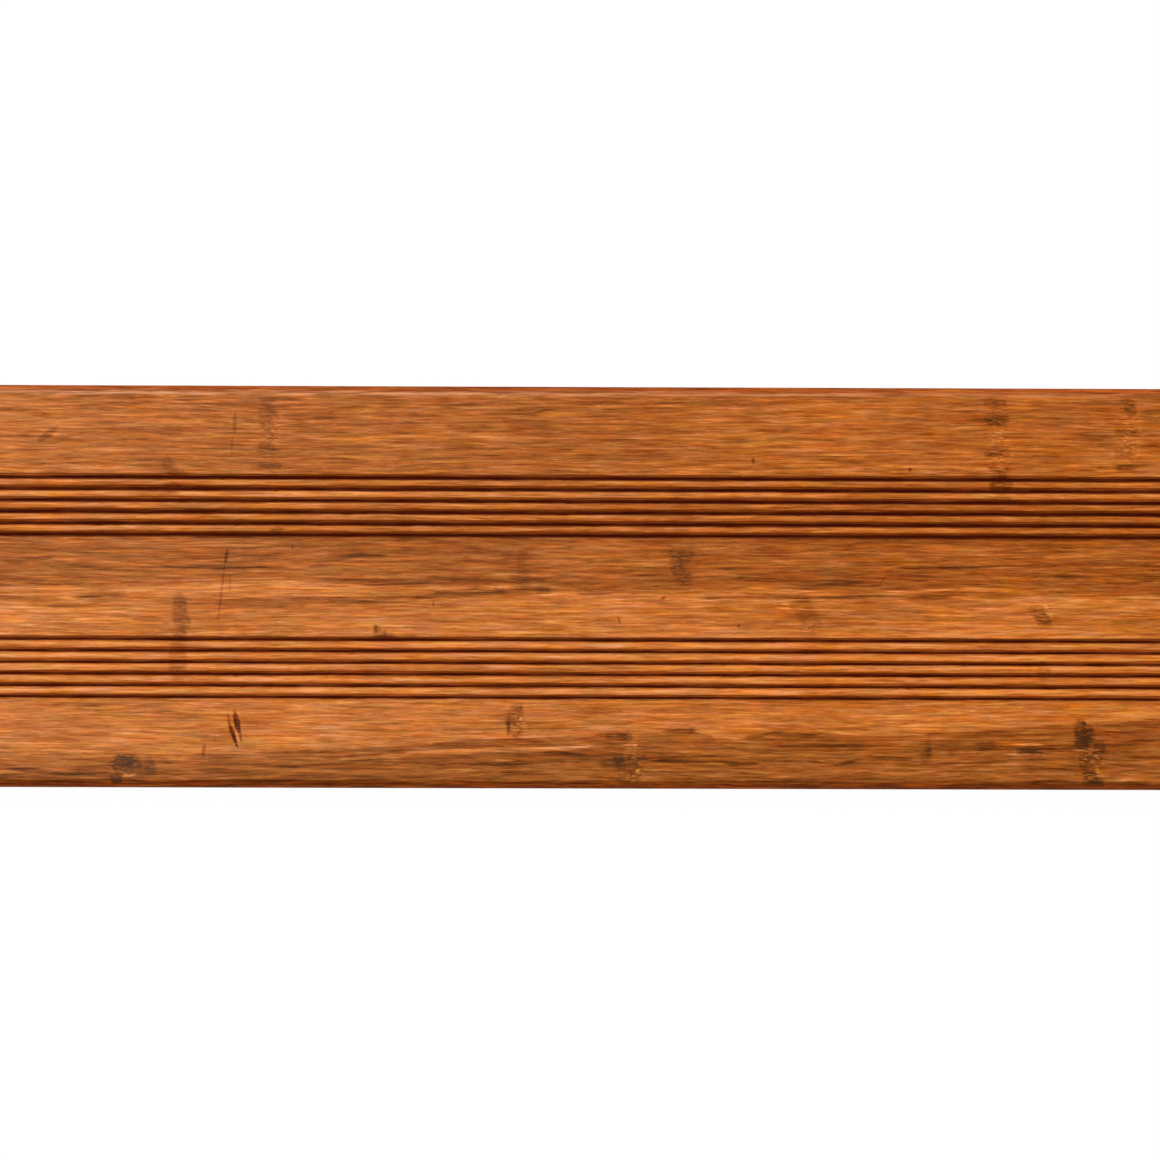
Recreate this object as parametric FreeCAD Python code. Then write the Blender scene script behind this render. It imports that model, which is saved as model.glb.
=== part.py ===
# Reeded decking board of pressed bamboo strands, one solid machined from one blank.
#
# The board lies as it is laid, reeded face up. X runs along the grain, Y across the board and Z up.
# The origin is the middle of the back, on the plane of the joists. All sizes are in millimetres.
# Its section is constant, as a moulder cuts it: two bands of round-topped reeds between three plain lands on
# the face, bevelled long edges, a slot for hidden clips along each side, a plain back and square-sawn ends.

import FreeCAD
import Part

import math
import os
from collections import namedtuple

# Board
board_length = 1850.0
board_width = 140.0
board_thickness = 20.0
back_arris_radius = 2.0

# Bevel along the long edges of the face, whose own two edges are rounded
face_bevel_width = 2.6
face_bevel_depth = 2.2
face_bevel_radius = 0.8

# Reeded bands: the grooves of one band are a pitch apart, and the wood left between two is a reed
band_centre_distance = 56.5
grooves_per_band = 6
groove_pitch = 4.0
groove_mouth_width = 1.5
groove_floor_width = 1.1
groove_depth = 2.0
groove_floor_radius = 0.4
land_edge_radius = 0.25

# A reed's crest is one arc whose middle is level with the lands and whose edges lie this much lower
reed_crest_rise = 0.5

# Clip slot along each side
slot_height = 6.0
slot_depth = 8.0
slot_floor_radius = 1.0
slot_lip_radius = 0.6
slot_centre_height = 10.0

# A rounded corner uses up at most this share of the shorter side beside it
corner_side_share = 0.49

# A corner of the section, the radius that rounds it, and how far the side that follows it bows out
Corner = namedtuple("Corner", "y z radius bow", defaults=(0.0,))


def groove_centres():
    """Where the grooves of both bands run, from +Y to -Y."""
    middle = (grooves_per_band - 1) / 2
    offsets = [(middle - i) * groove_pitch for i in range(grooves_per_band)]
    bands = (band_centre_distance / 2, -band_centre_distance / 2)
    return [band + offset for band in bands for offset in offsets]


def groove_corners(index, centre):
    """The corners of one groove, from +Y to -Y: its mouth is eased beside a land, and sharp beside a reed."""
    place_in_band = index % grooves_per_band
    after_land = place_in_band == 0
    before_land = place_in_band == grooves_per_band - 1
    half_mouth = groove_mouth_width / 2
    half_floor = groove_floor_width / 2
    floor_height = board_thickness - groove_depth
    reed_edge_height = board_thickness - reed_crest_rise
    floor = [
        Corner(centre + half_floor, floor_height, groove_floor_radius),
        Corner(centre - half_floor, floor_height, groove_floor_radius),
    ]
    if after_land:
        upper_edge = Corner(centre + half_mouth, board_thickness, land_edge_radius)
    else:
        upper_edge = Corner(centre + half_mouth, reed_edge_height, 0.0)
    if before_land:
        lower_edge = Corner(centre - half_mouth, board_thickness, land_edge_radius)
    else:
        lower_edge = Corner(centre - half_mouth, reed_edge_height, 0.0, reed_crest_rise)
    return [upper_edge, *floor, lower_edge]


def side_corners():
    """The corners of the +Y side above its back edge: the clip slot and the bevel."""
    side = board_width / 2
    slot_floor = side - slot_depth
    slot_low = slot_centre_height - slot_height / 2
    slot_high = slot_centre_height + slot_height / 2
    return [
        Corner(side, slot_low, slot_lip_radius),
        Corner(slot_floor, slot_low, slot_floor_radius),
        Corner(slot_floor, slot_high, slot_floor_radius),
        Corner(side, slot_high, slot_lip_radius),
        Corner(side, board_thickness - face_bevel_depth, face_bevel_radius),
        Corner(side - face_bevel_width, board_thickness, face_bevel_radius),
    ]


def section_corners():
    """Every corner of the board's section, once round from the back's -Y edge."""
    side = board_width / 2
    corners = [Corner(-side, 0.0, back_arris_radius), Corner(side, 0.0, back_arris_radius)]
    corners += side_corners()
    for index, centre in enumerate(groove_centres()):
        corners += groove_corners(index, centre)
    corners += [corner._replace(y=-corner.y) for corner in reversed(side_corners())]
    return corners


def rounded_corner(before, corner, after, radius):
    """Where an arc of this radius leaves the two sides of a corner, and its middle point."""
    to_before = before - corner
    to_after = after - corner
    shorter_side = min(to_before.Length, to_after.Length)
    to_before.normalize()
    to_after.normalize()
    half_angle = to_before.getAngle(to_after) / 2
    tangent_length = min(radius / math.tan(half_angle), corner_side_share * shorter_side)
    arc_radius = tangent_length * math.tan(half_angle)
    bisector = (to_before + to_after).normalize()
    middle = corner + bisector * (arc_radius / math.sin(half_angle) - arc_radius)
    return corner + to_before * tangent_length, middle, corner + to_after * tangent_length


def section_side(start, end, bow):
    """The side between two corners: straight, or an arc that bows up."""
    if bow == 0:
        return Part.LineSegment(start, end)
    return Part.Arc(start, (start + end) / 2 + FreeCAD.Vector(0, 0, bow), end)


def section_wire(x):
    """The section's outline at x: sides joined by tangent arcs, or by a sharp corner where it has no radius."""
    corners = section_corners()
    points = [FreeCAD.Vector(x, corner.y, corner.z) for corner in corners]
    arcs = []
    for i, corner in enumerate(corners):
        arcs.append(rounded_corner(points[i - 1], points[i], points[(i + 1) % len(points)], corner.radius))
    edges = []
    for i, (start, middle, end) in enumerate(arcs):
        next_start = arcs[(i + 1) % len(arcs)][0]
        if corners[i].radius > 0:
            edges.append(Part.Arc(start, middle, end).toShape())
        edges.append(section_side(end, next_start, corners[i].bow).toShape())
    return Part.Wire(edges)


def decking_board():
    """The whole board: its section run from one sawn end to the other."""
    section = Part.Face(section_wire(-board_length / 2))
    return section.extrude(FreeCAD.Vector(board_length, 0, 0))


os.makedirs("parts", exist_ok=True)
board = decking_board()
board.exportStep("parts/decking_board.step")
print("decking_board: valid", board.isValid(), "volume cm3", round(board.Volume / 1000, 1))
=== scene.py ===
"""A reeded decking board of pressed bamboo strands, and the plain studio that it lies in.

The board lies flat with its reeded face up. X runs along the grain, Y across the board and Z up, and the
origin is the middle of the back. Lengths in the tables below are in millimetres, those in the panel in metres.
"""

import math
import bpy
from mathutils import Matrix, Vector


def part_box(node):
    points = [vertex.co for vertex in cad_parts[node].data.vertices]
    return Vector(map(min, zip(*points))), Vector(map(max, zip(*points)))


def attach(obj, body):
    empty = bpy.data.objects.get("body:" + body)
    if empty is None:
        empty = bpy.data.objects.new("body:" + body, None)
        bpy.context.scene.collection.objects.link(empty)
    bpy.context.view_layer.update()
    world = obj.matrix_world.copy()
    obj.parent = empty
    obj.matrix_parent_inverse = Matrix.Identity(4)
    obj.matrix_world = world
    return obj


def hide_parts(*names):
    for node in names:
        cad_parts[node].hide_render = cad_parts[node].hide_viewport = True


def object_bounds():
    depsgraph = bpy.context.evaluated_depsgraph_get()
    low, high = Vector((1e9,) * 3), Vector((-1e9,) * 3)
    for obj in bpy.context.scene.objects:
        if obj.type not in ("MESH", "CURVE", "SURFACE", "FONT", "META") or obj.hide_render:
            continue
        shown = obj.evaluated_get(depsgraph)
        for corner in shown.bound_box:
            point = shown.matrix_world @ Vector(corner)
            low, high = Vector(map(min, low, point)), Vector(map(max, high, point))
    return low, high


bl_info = {
    "name": "Reeded Bamboo Decking Board",
    "version": (1, 0, 0),
    "blender": (4, 5, 0),
    "location": "3D View > Sidebar > Decking",
    "description": "Makes a reeded decking board of pressed bamboo strands and the studio that it lies in",
    "category": "Add Mesh",
}

import bpy
import numpy as np
from bpy.props import FloatProperty, FloatVectorProperty, IntProperty, PointerProperty
from mathutils import Vector

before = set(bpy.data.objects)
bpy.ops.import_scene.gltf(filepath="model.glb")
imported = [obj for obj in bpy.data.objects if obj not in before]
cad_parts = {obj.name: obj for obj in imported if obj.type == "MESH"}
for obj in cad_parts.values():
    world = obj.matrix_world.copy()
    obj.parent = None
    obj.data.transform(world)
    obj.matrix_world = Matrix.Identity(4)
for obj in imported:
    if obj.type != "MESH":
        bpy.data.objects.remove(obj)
cad_low, cad_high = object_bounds()

NODE = "decking_board"
MM = 0.001

board_low, board_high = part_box(NODE)
BOARD_LENGTH = (board_high.x - board_low.x) / MM
BOARD_WIDTH = (board_high.y - board_low.y) / MM
BOARD_THICKNESS = (board_high.z - board_low.z) / MM

# The stretch of the board that the camera sees, where the mesh is finest and the marks are placed one by one
SEEN_HALF = 206.0
FINE_STEP = 1.3
COARSE_STEP = 12.0

# Where the mesh is finer still, for the deepest cuts in the face: from x, to x and step
CUT_STRETCHES = ((-126.5, -116.5, 0.45),)

# How light the strands of the face are, from +Y to -Y: y and tone. The tones run from 0, burnt, to 1, pale.
FACE_TONES = (
    # Painted light: the tones of 0.76 at y 38.5 to 38.9 lighten the +Y side of the first groove of the upper band as
    # if lit
    (70.0, 0.60), (67.8, 0.60), (66.4, 0.595), (56.0, 0.59), (41.5, 0.585), (39.7, 0.59), (39.2, 0.66), (38.9, 0.76), (38.5, 0.76),
    (38.4, 0.65),
    (34.4, 0.65), (34.2, 0.74), (30.4, 0.74), (30.2, 0.64), (22.4, 0.64), (22.2, 0.66), (18.3, 0.66),
    (17.6, 0.44), (17.1, 0.47), (16.6, 0.575), (15.0, 0.545), (0.0, 0.545), (-8.0, 0.53),
    (-15.5, 0.53), (-17.5, 0.57), (-18.3, 0.63), (-26.2, 0.63), (-26.4, 0.665), (-27.6, 0.67), (-28.4, 0.715),
    (-30.2, 0.715), (-30.4, 0.745),
    # Painted shade: the tones of 0.51 at y -67.3 to -68.6 darken the -Y bevel, which faces away from the lamp
    (-34.2, 0.75), (-34.4, 0.785), (-38.3, 0.785), (-39.0, 0.67), (-66.5, 0.66), (-67.3, 0.51), (-68.6, 0.51),
    (-70.0, 0.57),
)

# The bands of reeds part the face into three lands, which are told apart by y
LAND_SPLIT = 28.0

# For the upper, middle and lower land, the line where its strands change: x, y, softness and the change of tone
# below the line
BORDERS = (
    ((-202.0, 39.0, 1.0, 0.0), (202.0, 39.0, 1.0, 0.0)),
    (
        (-202.0, -0.5, 1.0, 0.13), (-150.0, 0.3, 1.0, 0.13), (-125.0, 1.0, 1.2, 0.10), (-110.0, 1.8, 1.0, 0.11),
        (-95.0, 1.8, 1.0, 0.11), (-82.0, 0.4, 0.8, 0.12), (-60.0, -0.6, 0.8, 0.12), (-40.0, -0.5, 0.8, 0.12),
        (-25.0, -0.6, 0.8, 0.12), (-14.0, -1.4, 0.8, 0.12), (0.0, -3.0, 0.6, 0.13), (20.0, -2.3, 0.6, 0.13),
        (40.0, -2.0, 0.8, 0.13), (50.0, -0.9, 0.8, 0.13), (65.0, -0.3, 0.8, 0.13), (82.0, -1.3, 0.7, 0.13),
        (100.0, -1.7, 0.6, 0.14), (120.0, -0.6, 0.6, 0.14), (140.0, 0.1, 0.7, 0.14), (150.0, -0.8, 0.7, 0.14),
        (160.0, -2.4, 0.8, 0.14), (180.0, -2.8, 0.8, 0.14), (202.0, -3.0, 0.8, 0.14),
    ),
    (
        (-202.0, -60.5, 2.5, -0.05), (-165.0, -59.5, 1.5, -0.08), (-140.0, -59.3, 1.2, -0.10),
        (-118.0, -58.0, 1.0, -0.12), (-100.0, -57.0, 0.9, -0.14), (-80.0, -56.1, 0.8, -0.14),
        (-58.0, -55.0, 0.7, -0.14), (-40.0, -53.5, 0.7, -0.14), (-25.0, -52.8, 0.7, -0.14),
        (3.0, -52.0, 0.7, -0.14), (8.0, -50.8, 0.7, -0.14), (20.0, -50.8, 0.7, -0.14), (28.0, -50.0, 0.7, -0.14),
        (35.0, -49.2, 0.7, -0.14), (39.0, -49.8, 0.7, -0.14), (47.0, -52.3, 0.7, -0.14), (54.0, -52.6, 0.7, -0.14),
        (63.0, -50.6, 0.7, -0.14), (68.0, -49.9, 0.7, -0.14), (80.0, -50.4, 0.7, -0.14), (88.0, -50.6, 0.7, -0.14),
        (92.0, -51.4, 0.45, -0.14), (119.0, -51.5, 0.45, -0.15), (121.0, -50.3, 0.5, -0.13),
        (135.0, -49.9, 0.7, -0.14), (150.0, -48.8, 0.7, -0.14), (165.0, -47.8, 0.7, -0.14),
        (180.0, -47.0, 0.7, -0.14), (190.0, -46.3, 0.7, -0.15), (202.0, -45.0, 0.7, -0.16),
    ),
)

# Streaks in three sets, each with those of the upper, middle and lower land one after another: x, y, half the
# thickness and the change of tone. Where the change is 0, there is none.
STREAKS = (
    (
        (
            (-202.0, 61.0, 0.5, -0.13), (-189.0, 61.0, 0.4, -0.10), (-187.0, 61.0, 0.3, 0.0),
            (-140.0, 61.0, 0.4, 0.0), (-136.0, 60.9, 0.6, -0.10), (-127.0, 60.8, 0.6, -0.10),
            (-125.0, 60.8, 0.3, 0.0), (-103.0, 58.0, 0.6, 0.0), (-98.0, 58.0, 0.8, -0.10),
            (-86.0, 59.0, 0.6, -0.10), (-82.0, 59.2, 0.4, 0.0), (-37.0, 60.2, 0.4, 0.0), (-34.0, 60.3, 0.5, -0.12),
            (-17.0, 60.3, 0.5, -0.12), (-10.0, 61.8, 0.4, -0.10), (-7.0, 61.9, 0.4, 0.0), (30.0, 57.0, 0.8, 0.0),
            (36.0, 57.0, 1.0, 0.05), (50.0, 57.3, 0.9, 0.05), (56.0, 58.0, 0.5, 0.0), (64.0, 60.4, 0.6, 0.0),
            (67.0, 60.5, 0.9, -0.08), (82.0, 60.3, 0.8, -0.08), (86.0, 60.0, 0.5, 0.0), (110.0, 62.6, 0.6, 0.0),
            (114.0, 62.7, 0.7, 0.06), (150.0, 62.3, 0.6, 0.06), (170.0, 62.0, 0.4, 0.0), (202.0, 62.0, 0.4, 0.0),
        ),
        (
            (-145.0, -6.0, 0.5, 0.0), (-138.0, -5.9, 0.6, -0.08), (-122.0, -5.8, 1.2, -0.13),
            (-100.0, -5.3, 1.5, -0.13), (-80.0, -5.1, 1.4, -0.13), (-60.0, -4.5, 1.0, -0.14),
            (-50.0, -3.0, 1.2, -0.20), (-36.0, -2.4, 1.3, -0.24), (-22.0, -2.0, 1.1, -0.20),
            (-12.0, -2.0, 0.6, -0.12), (-8.0, -2.0, 0.4, 0.0), (40.0, -3.5, 0.3, 0.0), (45.0, -3.6, 0.4, -0.18),
            (65.0, -3.3, 0.5, -0.16), (86.0, -3.6, 0.6, -0.18), (100.0, -3.2, 0.6, -0.18), (114.0, -2.8, 0.8, -0.18),
            (126.0, -2.4, 1.2, -0.20), (140.0, -2.0, 0.9, -0.16), (152.0, -2.0, 0.9, -0.14),
            (158.0, -2.2, 0.5, 0.0), (185.0, -3.7, 0.4, 0.0), (190.0, -3.8, 0.4, -0.15), (202.0, -3.9, 0.4, -0.15),
        ),
        (
            (-202.0, -62.7, 0.7, -0.10), (-180.0, -65.0, 0.8, -0.12), (-165.0, -64.9, 0.7, -0.10),
            (-160.0, -64.5, 0.4, 0.0), (-90.0, -60.6, 0.3, 0.0), (-84.0, -60.2, 0.4, 0.10), (-70.0, -59.2, 0.6, 0.16),
            (-61.0, -58.5, 0.6, 0.17), (-57.0, -57.3, 0.8, 0.17), (-45.0, -56.9, 0.8, 0.18),
            (-30.0, -57.0, 1.0, 0.18), (-18.0, -56.4, 1.0, 0.20), (-5.0, -55.8, 0.9, 0.22), (2.5, -55.6, 0.5, 0.20),
            (5.0, -55.3, 0.3, 0.0), (24.0, -60.3, 0.6, 0.0), (29.0, -60.3, 0.8, -0.14), (48.0, -60.3, 0.7, -0.14),
            (52.0, -61.0, 0.8, -0.20), (61.0, -61.0, 0.6, -0.18), (63.0, -61.0, 0.3, 0.0),
            (78.0, -60.3, 0.3, 0.0), (81.0, -60.3, 0.5, -0.14), (85.0, -60.8, 0.3, -0.04),
            (89.0, -61.4, 0.6, -0.14), (94.0, -60.3, 0.5, -0.14), (100.0, -59.2, 0.5, 0.0),
            (103.0, -59.2, 0.7, -0.12), (114.0, -59.3, 0.7, -0.12), (117.0, -59.0, 0.5, 0.0),
            (136.0, -55.3, 0.8, 0.0), (139.0, -55.2, 1.3, -0.08), (149.0, -55.4, 1.2, -0.08),
            (152.0, -56.0, 0.8, -0.12), (163.0, -56.0, 0.7, -0.14), (172.0, -55.8, 0.4, 0.0),
            (185.0, -53.0, 0.5, 0.0), (190.0, -53.0, 0.5, -0.10), (202.0, -52.6, 0.5, -0.10),
        ),
    ),
    (
        (
            (-196.0, 52.0, 0.4, 0.0), (-194.0, 52.0, 0.5, -0.10), (-181.0, 51.6, 0.4, 0.0),
            (-160.0, 54.3, 0.8, 0.0), (-155.0, 54.3, 1.1, -0.07), (-141.0, 54.2, 1.1, -0.07),
            (-133.0, 54.6, 0.6, -0.08), (-129.0, 54.6, 0.4, 0.0), (-62.0, 51.9, 0.8, 0.0), (-56.0, 51.9, 1.0, 0.06),
            (-30.0, 51.9, 0.9, 0.05), (-12.0, 52.1, 0.8, 0.05), (5.0, 52.0, 0.9, 0.05), (36.0, 51.9, 0.6, 0.03),
            (44.0, 51.9, 0.5, 0.0), (60.0, 55.1, 0.6, 0.0), (65.0, 55.1, 0.9, -0.07), (84.0, 55.2, 0.8, -0.07),
            (98.0, 54.6, 0.8, -0.08), (102.0, 54.5, 0.5, 0.0), (126.0, 58.4, 0.5, 0.0), (131.0, 58.4, 0.7, -0.08),
            (141.0, 58.3, 0.7, -0.08), (146.0, 58.3, 0.4, 0.0), (174.0, 51.5, 0.4, 0.0), (178.0, 51.5, 0.4, -0.12),
            (187.0, 51.6, 0.4, -0.12), (190.0, 51.6, 0.3, 0.0), (202.0, 58.2, 0.8, 0.0),
        ),
        (
            (-202.0, -4.0, 0.4, -0.18), (-194.0, -4.0, 0.4, -0.12), (-191.0, -4.0, 0.3, 0.0),
            (-178.0, -4.1, 0.4, 0.0), (-175.0, -4.1, 0.45, -0.16), (-162.0, -3.6, 0.4, -0.14),
            (-156.0, -3.9, 0.3, 0.0), (-154.0, 6.3, 0.3, 0.0), (-148.0, 6.3, 0.45, -0.12),
            (-125.0, 6.1, 0.5, -0.13), (-110.0, 6.4, 0.4, -0.12), (-106.0, 6.6, 0.3, 0.0), (-92.0, 2.3, 0.4, 0.0),
            (-80.0, 2.6, 0.5, -0.06), (-72.0, 1.4, 1.0, -0.10), (-60.0, 1.2, 1.1, -0.11), (-50.0, 2.8, 1.1, -0.11),
            (-40.0, 2.8, 1.3, -0.04), (-26.0, 1.8, 1.4, -0.04), (-12.0, 2.0, 0.9, -0.06), (-4.0, 2.6, 0.5, 0.0),
            (50.0, 3.1, 0.4, 0.0), (55.0, 2.9, 0.7, -0.10), (70.0, 2.4, 1.1, -0.10), (92.0, 1.6, 1.1, -0.10),
            (104.0, 0.8, 0.8, -0.08), (108.0, 6.9, 0.3, 0.0), (112.0, 7.0, 0.35, -0.15), (128.0, 7.0, 0.4, -0.16),
            (138.0, 7.3, 0.4, -0.14), (149.0, 7.6, 0.3, -0.12), (152.0, 7.6, 0.3, 0.0), (163.0, 4.4, 0.4, 0.0),
            (166.0, 4.3, 0.8, -0.08), (174.0, 4.0, 0.7, -0.08), (180.0, 3.8, 0.3, 0.0), (202.0, 6.0, 0.4, 0.0),
        ),
        (
            (-202.0, -66.0, 0.5, 0.0), (-116.0, -61.6, 0.5, 0.0), (-112.0, -61.6, 0.6, -0.06),
            (-98.0, -62.6, 0.7, -0.06), (-82.0, -61.3, 0.6, -0.10), (-74.0, -60.8, 0.5, -0.10),
            (-68.0, -60.7, 0.4, 0.0), (-52.0, -62.6, 0.5, 0.0), (-48.0, -62.4, 0.8, -0.05), (-32.0, -61.9, 0.8, -0.08),
            (-28.0, -61.8, 0.8, -0.15), (-21.0, -61.6, 0.7, -0.14), (-17.0, -61.5, 0.4, 0.0),
            (-12.0, -58.7, 0.5, 0.0), (-6.0, -58.4, 0.9, -0.12), (2.0, -59.2, 0.8, -0.12), (10.0, -59.8, 0.5, -0.10),
            (24.0, -59.6, 0.3, -0.12), (36.0, -58.9, 0.25, -0.14), (52.0, -58.6, 0.25, -0.12), (58.0, -58.4, 0.2, 0.0),
            (66.0, -55.0, 0.4, 0.0), (70.0, -55.0, 0.4, -0.10), (82.0, -55.2, 0.5, -0.12), (95.0, -54.6, 0.5, -0.12),
            (108.0, -54.8, 0.3, 0.0), (120.0, -62.0, 0.3, 0.0), (126.0, -61.3, 0.5, -0.09), (142.0, -60.2, 0.5, -0.09),
            (150.0, -59.7, 0.3, 0.0), (156.0, -63.0, 0.4, 0.0), (160.0, -63.0, 0.6, -0.08), (168.0, -62.6, 0.5, -0.08),
            (172.0, -62.5, 0.3, 0.0), (184.0, -58.6, 0.5, 0.0), (192.0, -58.8, 0.7, -0.09), (202.0, -59.4, 0.7, -0.09),
        ),
    ),
    (
        (
            (-181.0, 44.0, 0.4, 0.0), (-177.0, 44.0, 0.6, -0.10), (-174.0, 43.9, 0.4, -0.04),
            (-166.0, 43.2, 0.5, -0.08), (-152.0, 43.6, 0.5, -0.10), (-138.0, 43.7, 0.5, -0.13),
            (-134.0, 43.8, 0.3, 0.0), (-64.0, 42.0, 0.4, 0.0), (-60.0, 42.0, 0.6, -0.08), (-48.0, 41.9, 0.5, -0.08),
            (-44.0, 41.8, 0.3, 0.0), (-8.0, 41.0, 0.4, 0.0), (-2.0, 41.0, 0.5, 0.07), (20.0, 41.3, 0.5, 0.08),
            (44.0, 41.3, 0.5, 0.09), (50.0, 41.4, 0.3, 0.0), (80.0, 40.8, 0.6, 0.0), (85.0, 40.8, 0.9, 0.07),
            (93.0, 40.8, 0.7, 0.07), (97.0, 41.0, 0.4, 0.0), (110.0, 42.2, 0.4, 0.0), (113.0, 42.2, 0.6, 0.10),
            (131.0, 42.2, 0.5, 0.10), (133.0, 42.2, 0.3, 0.0), (186.0, 42.3, 0.5, 0.0), (188.0, 42.4, 0.7, -0.13),
            (194.0, 42.7, 0.6, -0.12), (199.0, 43.4, 0.3, -0.06), (202.0, 43.6, 0.3, 0.0),
        ),
        (
            (-202.0, 2.0, 1.8, -0.10), (-192.0, 1.6, 1.4, -0.08), (-184.0, 1.2, 0.6, 0.0), (-180.0, 6.5, 0.4, 0.0),
            (-176.0, 6.4, 0.6, -0.10), (-163.0, 6.3, 0.5, -0.11), (-158.0, 6.2, 0.3, 0.0), (-136.0, -16.4, 0.3, 0.0),
            (-132.0, -16.3, 0.4, 0.09), (-112.0, -16.0, 0.4, 0.09), (-103.0, -15.4, 0.3, 0.0), (-96.0, 9.2, 0.5, 0.0),
            (-90.0, 9.3, 0.6, -0.08), (-78.0, 10.3, 0.8, -0.11), (-71.0, 10.4, 0.7, -0.11), (-66.0, 10.5, 0.4, 0.0),
            (-46.0, -0.3, 0.3, 0.0), (-42.0, -0.3, 0.4, 0.08), (-30.0, -0.1, 0.45, 0.14), (-24.0, -0.4, 0.5, 0.14),
            (-20.0, -0.5, 0.3, 0.0), (-16.0, -3.1, 0.3, 0.0), (-12.0, -2.7, 0.5, 0.07), (-4.0, -2.4, 0.4, 0.05),
            (2.0, -2.8, 0.3, 0.0), (62.0, -15.7, 0.3, 0.0), (68.0, -7.1, 0.3, 0.0), (71.0, -7.2, 0.3, 0.12),
            (84.0, -7.8, 0.3, 0.14), (93.0, -8.1, 0.3, 0.10), (97.0, -8.2, 0.2, 0.0), (118.0, -12.3, 0.3, 0.0),
            (124.0, -12.5, 0.4, 0.08), (146.0, -13.4, 0.5, 0.08), (152.0, -13.6, 0.3, 0.0), (186.0, -2.6, 0.3, 0.0),
            (191.0, -2.9, 0.45, 0.10), (202.0, -3.1, 0.45, 0.06),
        ),
        (
            (-175.0, -41.9, 0.3, 0.0), (-171.0, -41.9, 0.4, -0.14), (-168.0, -41.9, 0.4, -0.12),
            (-166.0, -41.9, 0.3, 0.0), (-152.0, -49.6, 0.4, 0.0), (-147.0, -49.6, 0.6, -0.09),
            (-134.0, -49.2, 0.5, -0.08), (-130.0, -49.2, 0.3, 0.0), (-100.0, -47.6, 0.3, 0.0), (-94.0, -47.6, 0.4, -0.08),
            (-84.0, -47.7, 0.3, -0.06), (-80.5, -49.8, 0.3, 0.0), (-79.0, -49.7, 0.35, -0.10),
            (-68.0, -49.7, 0.4, -0.12), (-66.0, -49.8, 0.3, 0.0), (-30.0, -60.2, 0.3, 0.0), (-28.0, -60.2, 0.3, 0.16),
            (-24.0, -60.3, 0.3, 0.14), (-22.0, -60.3, 0.2, 0.0), (30.0, -44.3, 0.3, 0.0), (33.0, -44.3, 0.3, 0.10),
            (37.0, -44.3, 0.3, 0.08), (39.0, -44.3, 0.2, 0.0), (45.0, -44.6, 0.3, 0.0), (49.0, -44.6, 0.4, 0.07),
            (58.0, -44.4, 0.4, 0.07), (61.0, -44.2, 0.3, 0.0), (62.5, -51.9, 0.2, 0.0), (64.0, -51.9, 0.25, 0.14),
            (70.0, -52.2, 0.25, 0.12), (71.5, -52.3, 0.2, 0.0), (100.0, -47.6, 0.4, 0.0), (103.0, -47.6, 0.6, -0.08),
            (114.0, -47.2, 0.4, -0.05), (120.0, -47.0, 0.3, 0.0), (146.0, -59.0, 0.3, 0.0), (150.0, -59.0, 0.4, 0.08),
            (163.0, -58.4, 0.3, 0.06), (168.0, -58.2, 0.2, 0.0), (186.0, -66.5, 0.3, 0.0), (188.0, -66.5, 0.3, 0.16),
            (191.0, -66.3, 0.3, 0.14), (194.0, -67.0, 0.6, 0.10), (202.0, -67.5, 0.8, 0.12),
        ),
    ),
)

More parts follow.
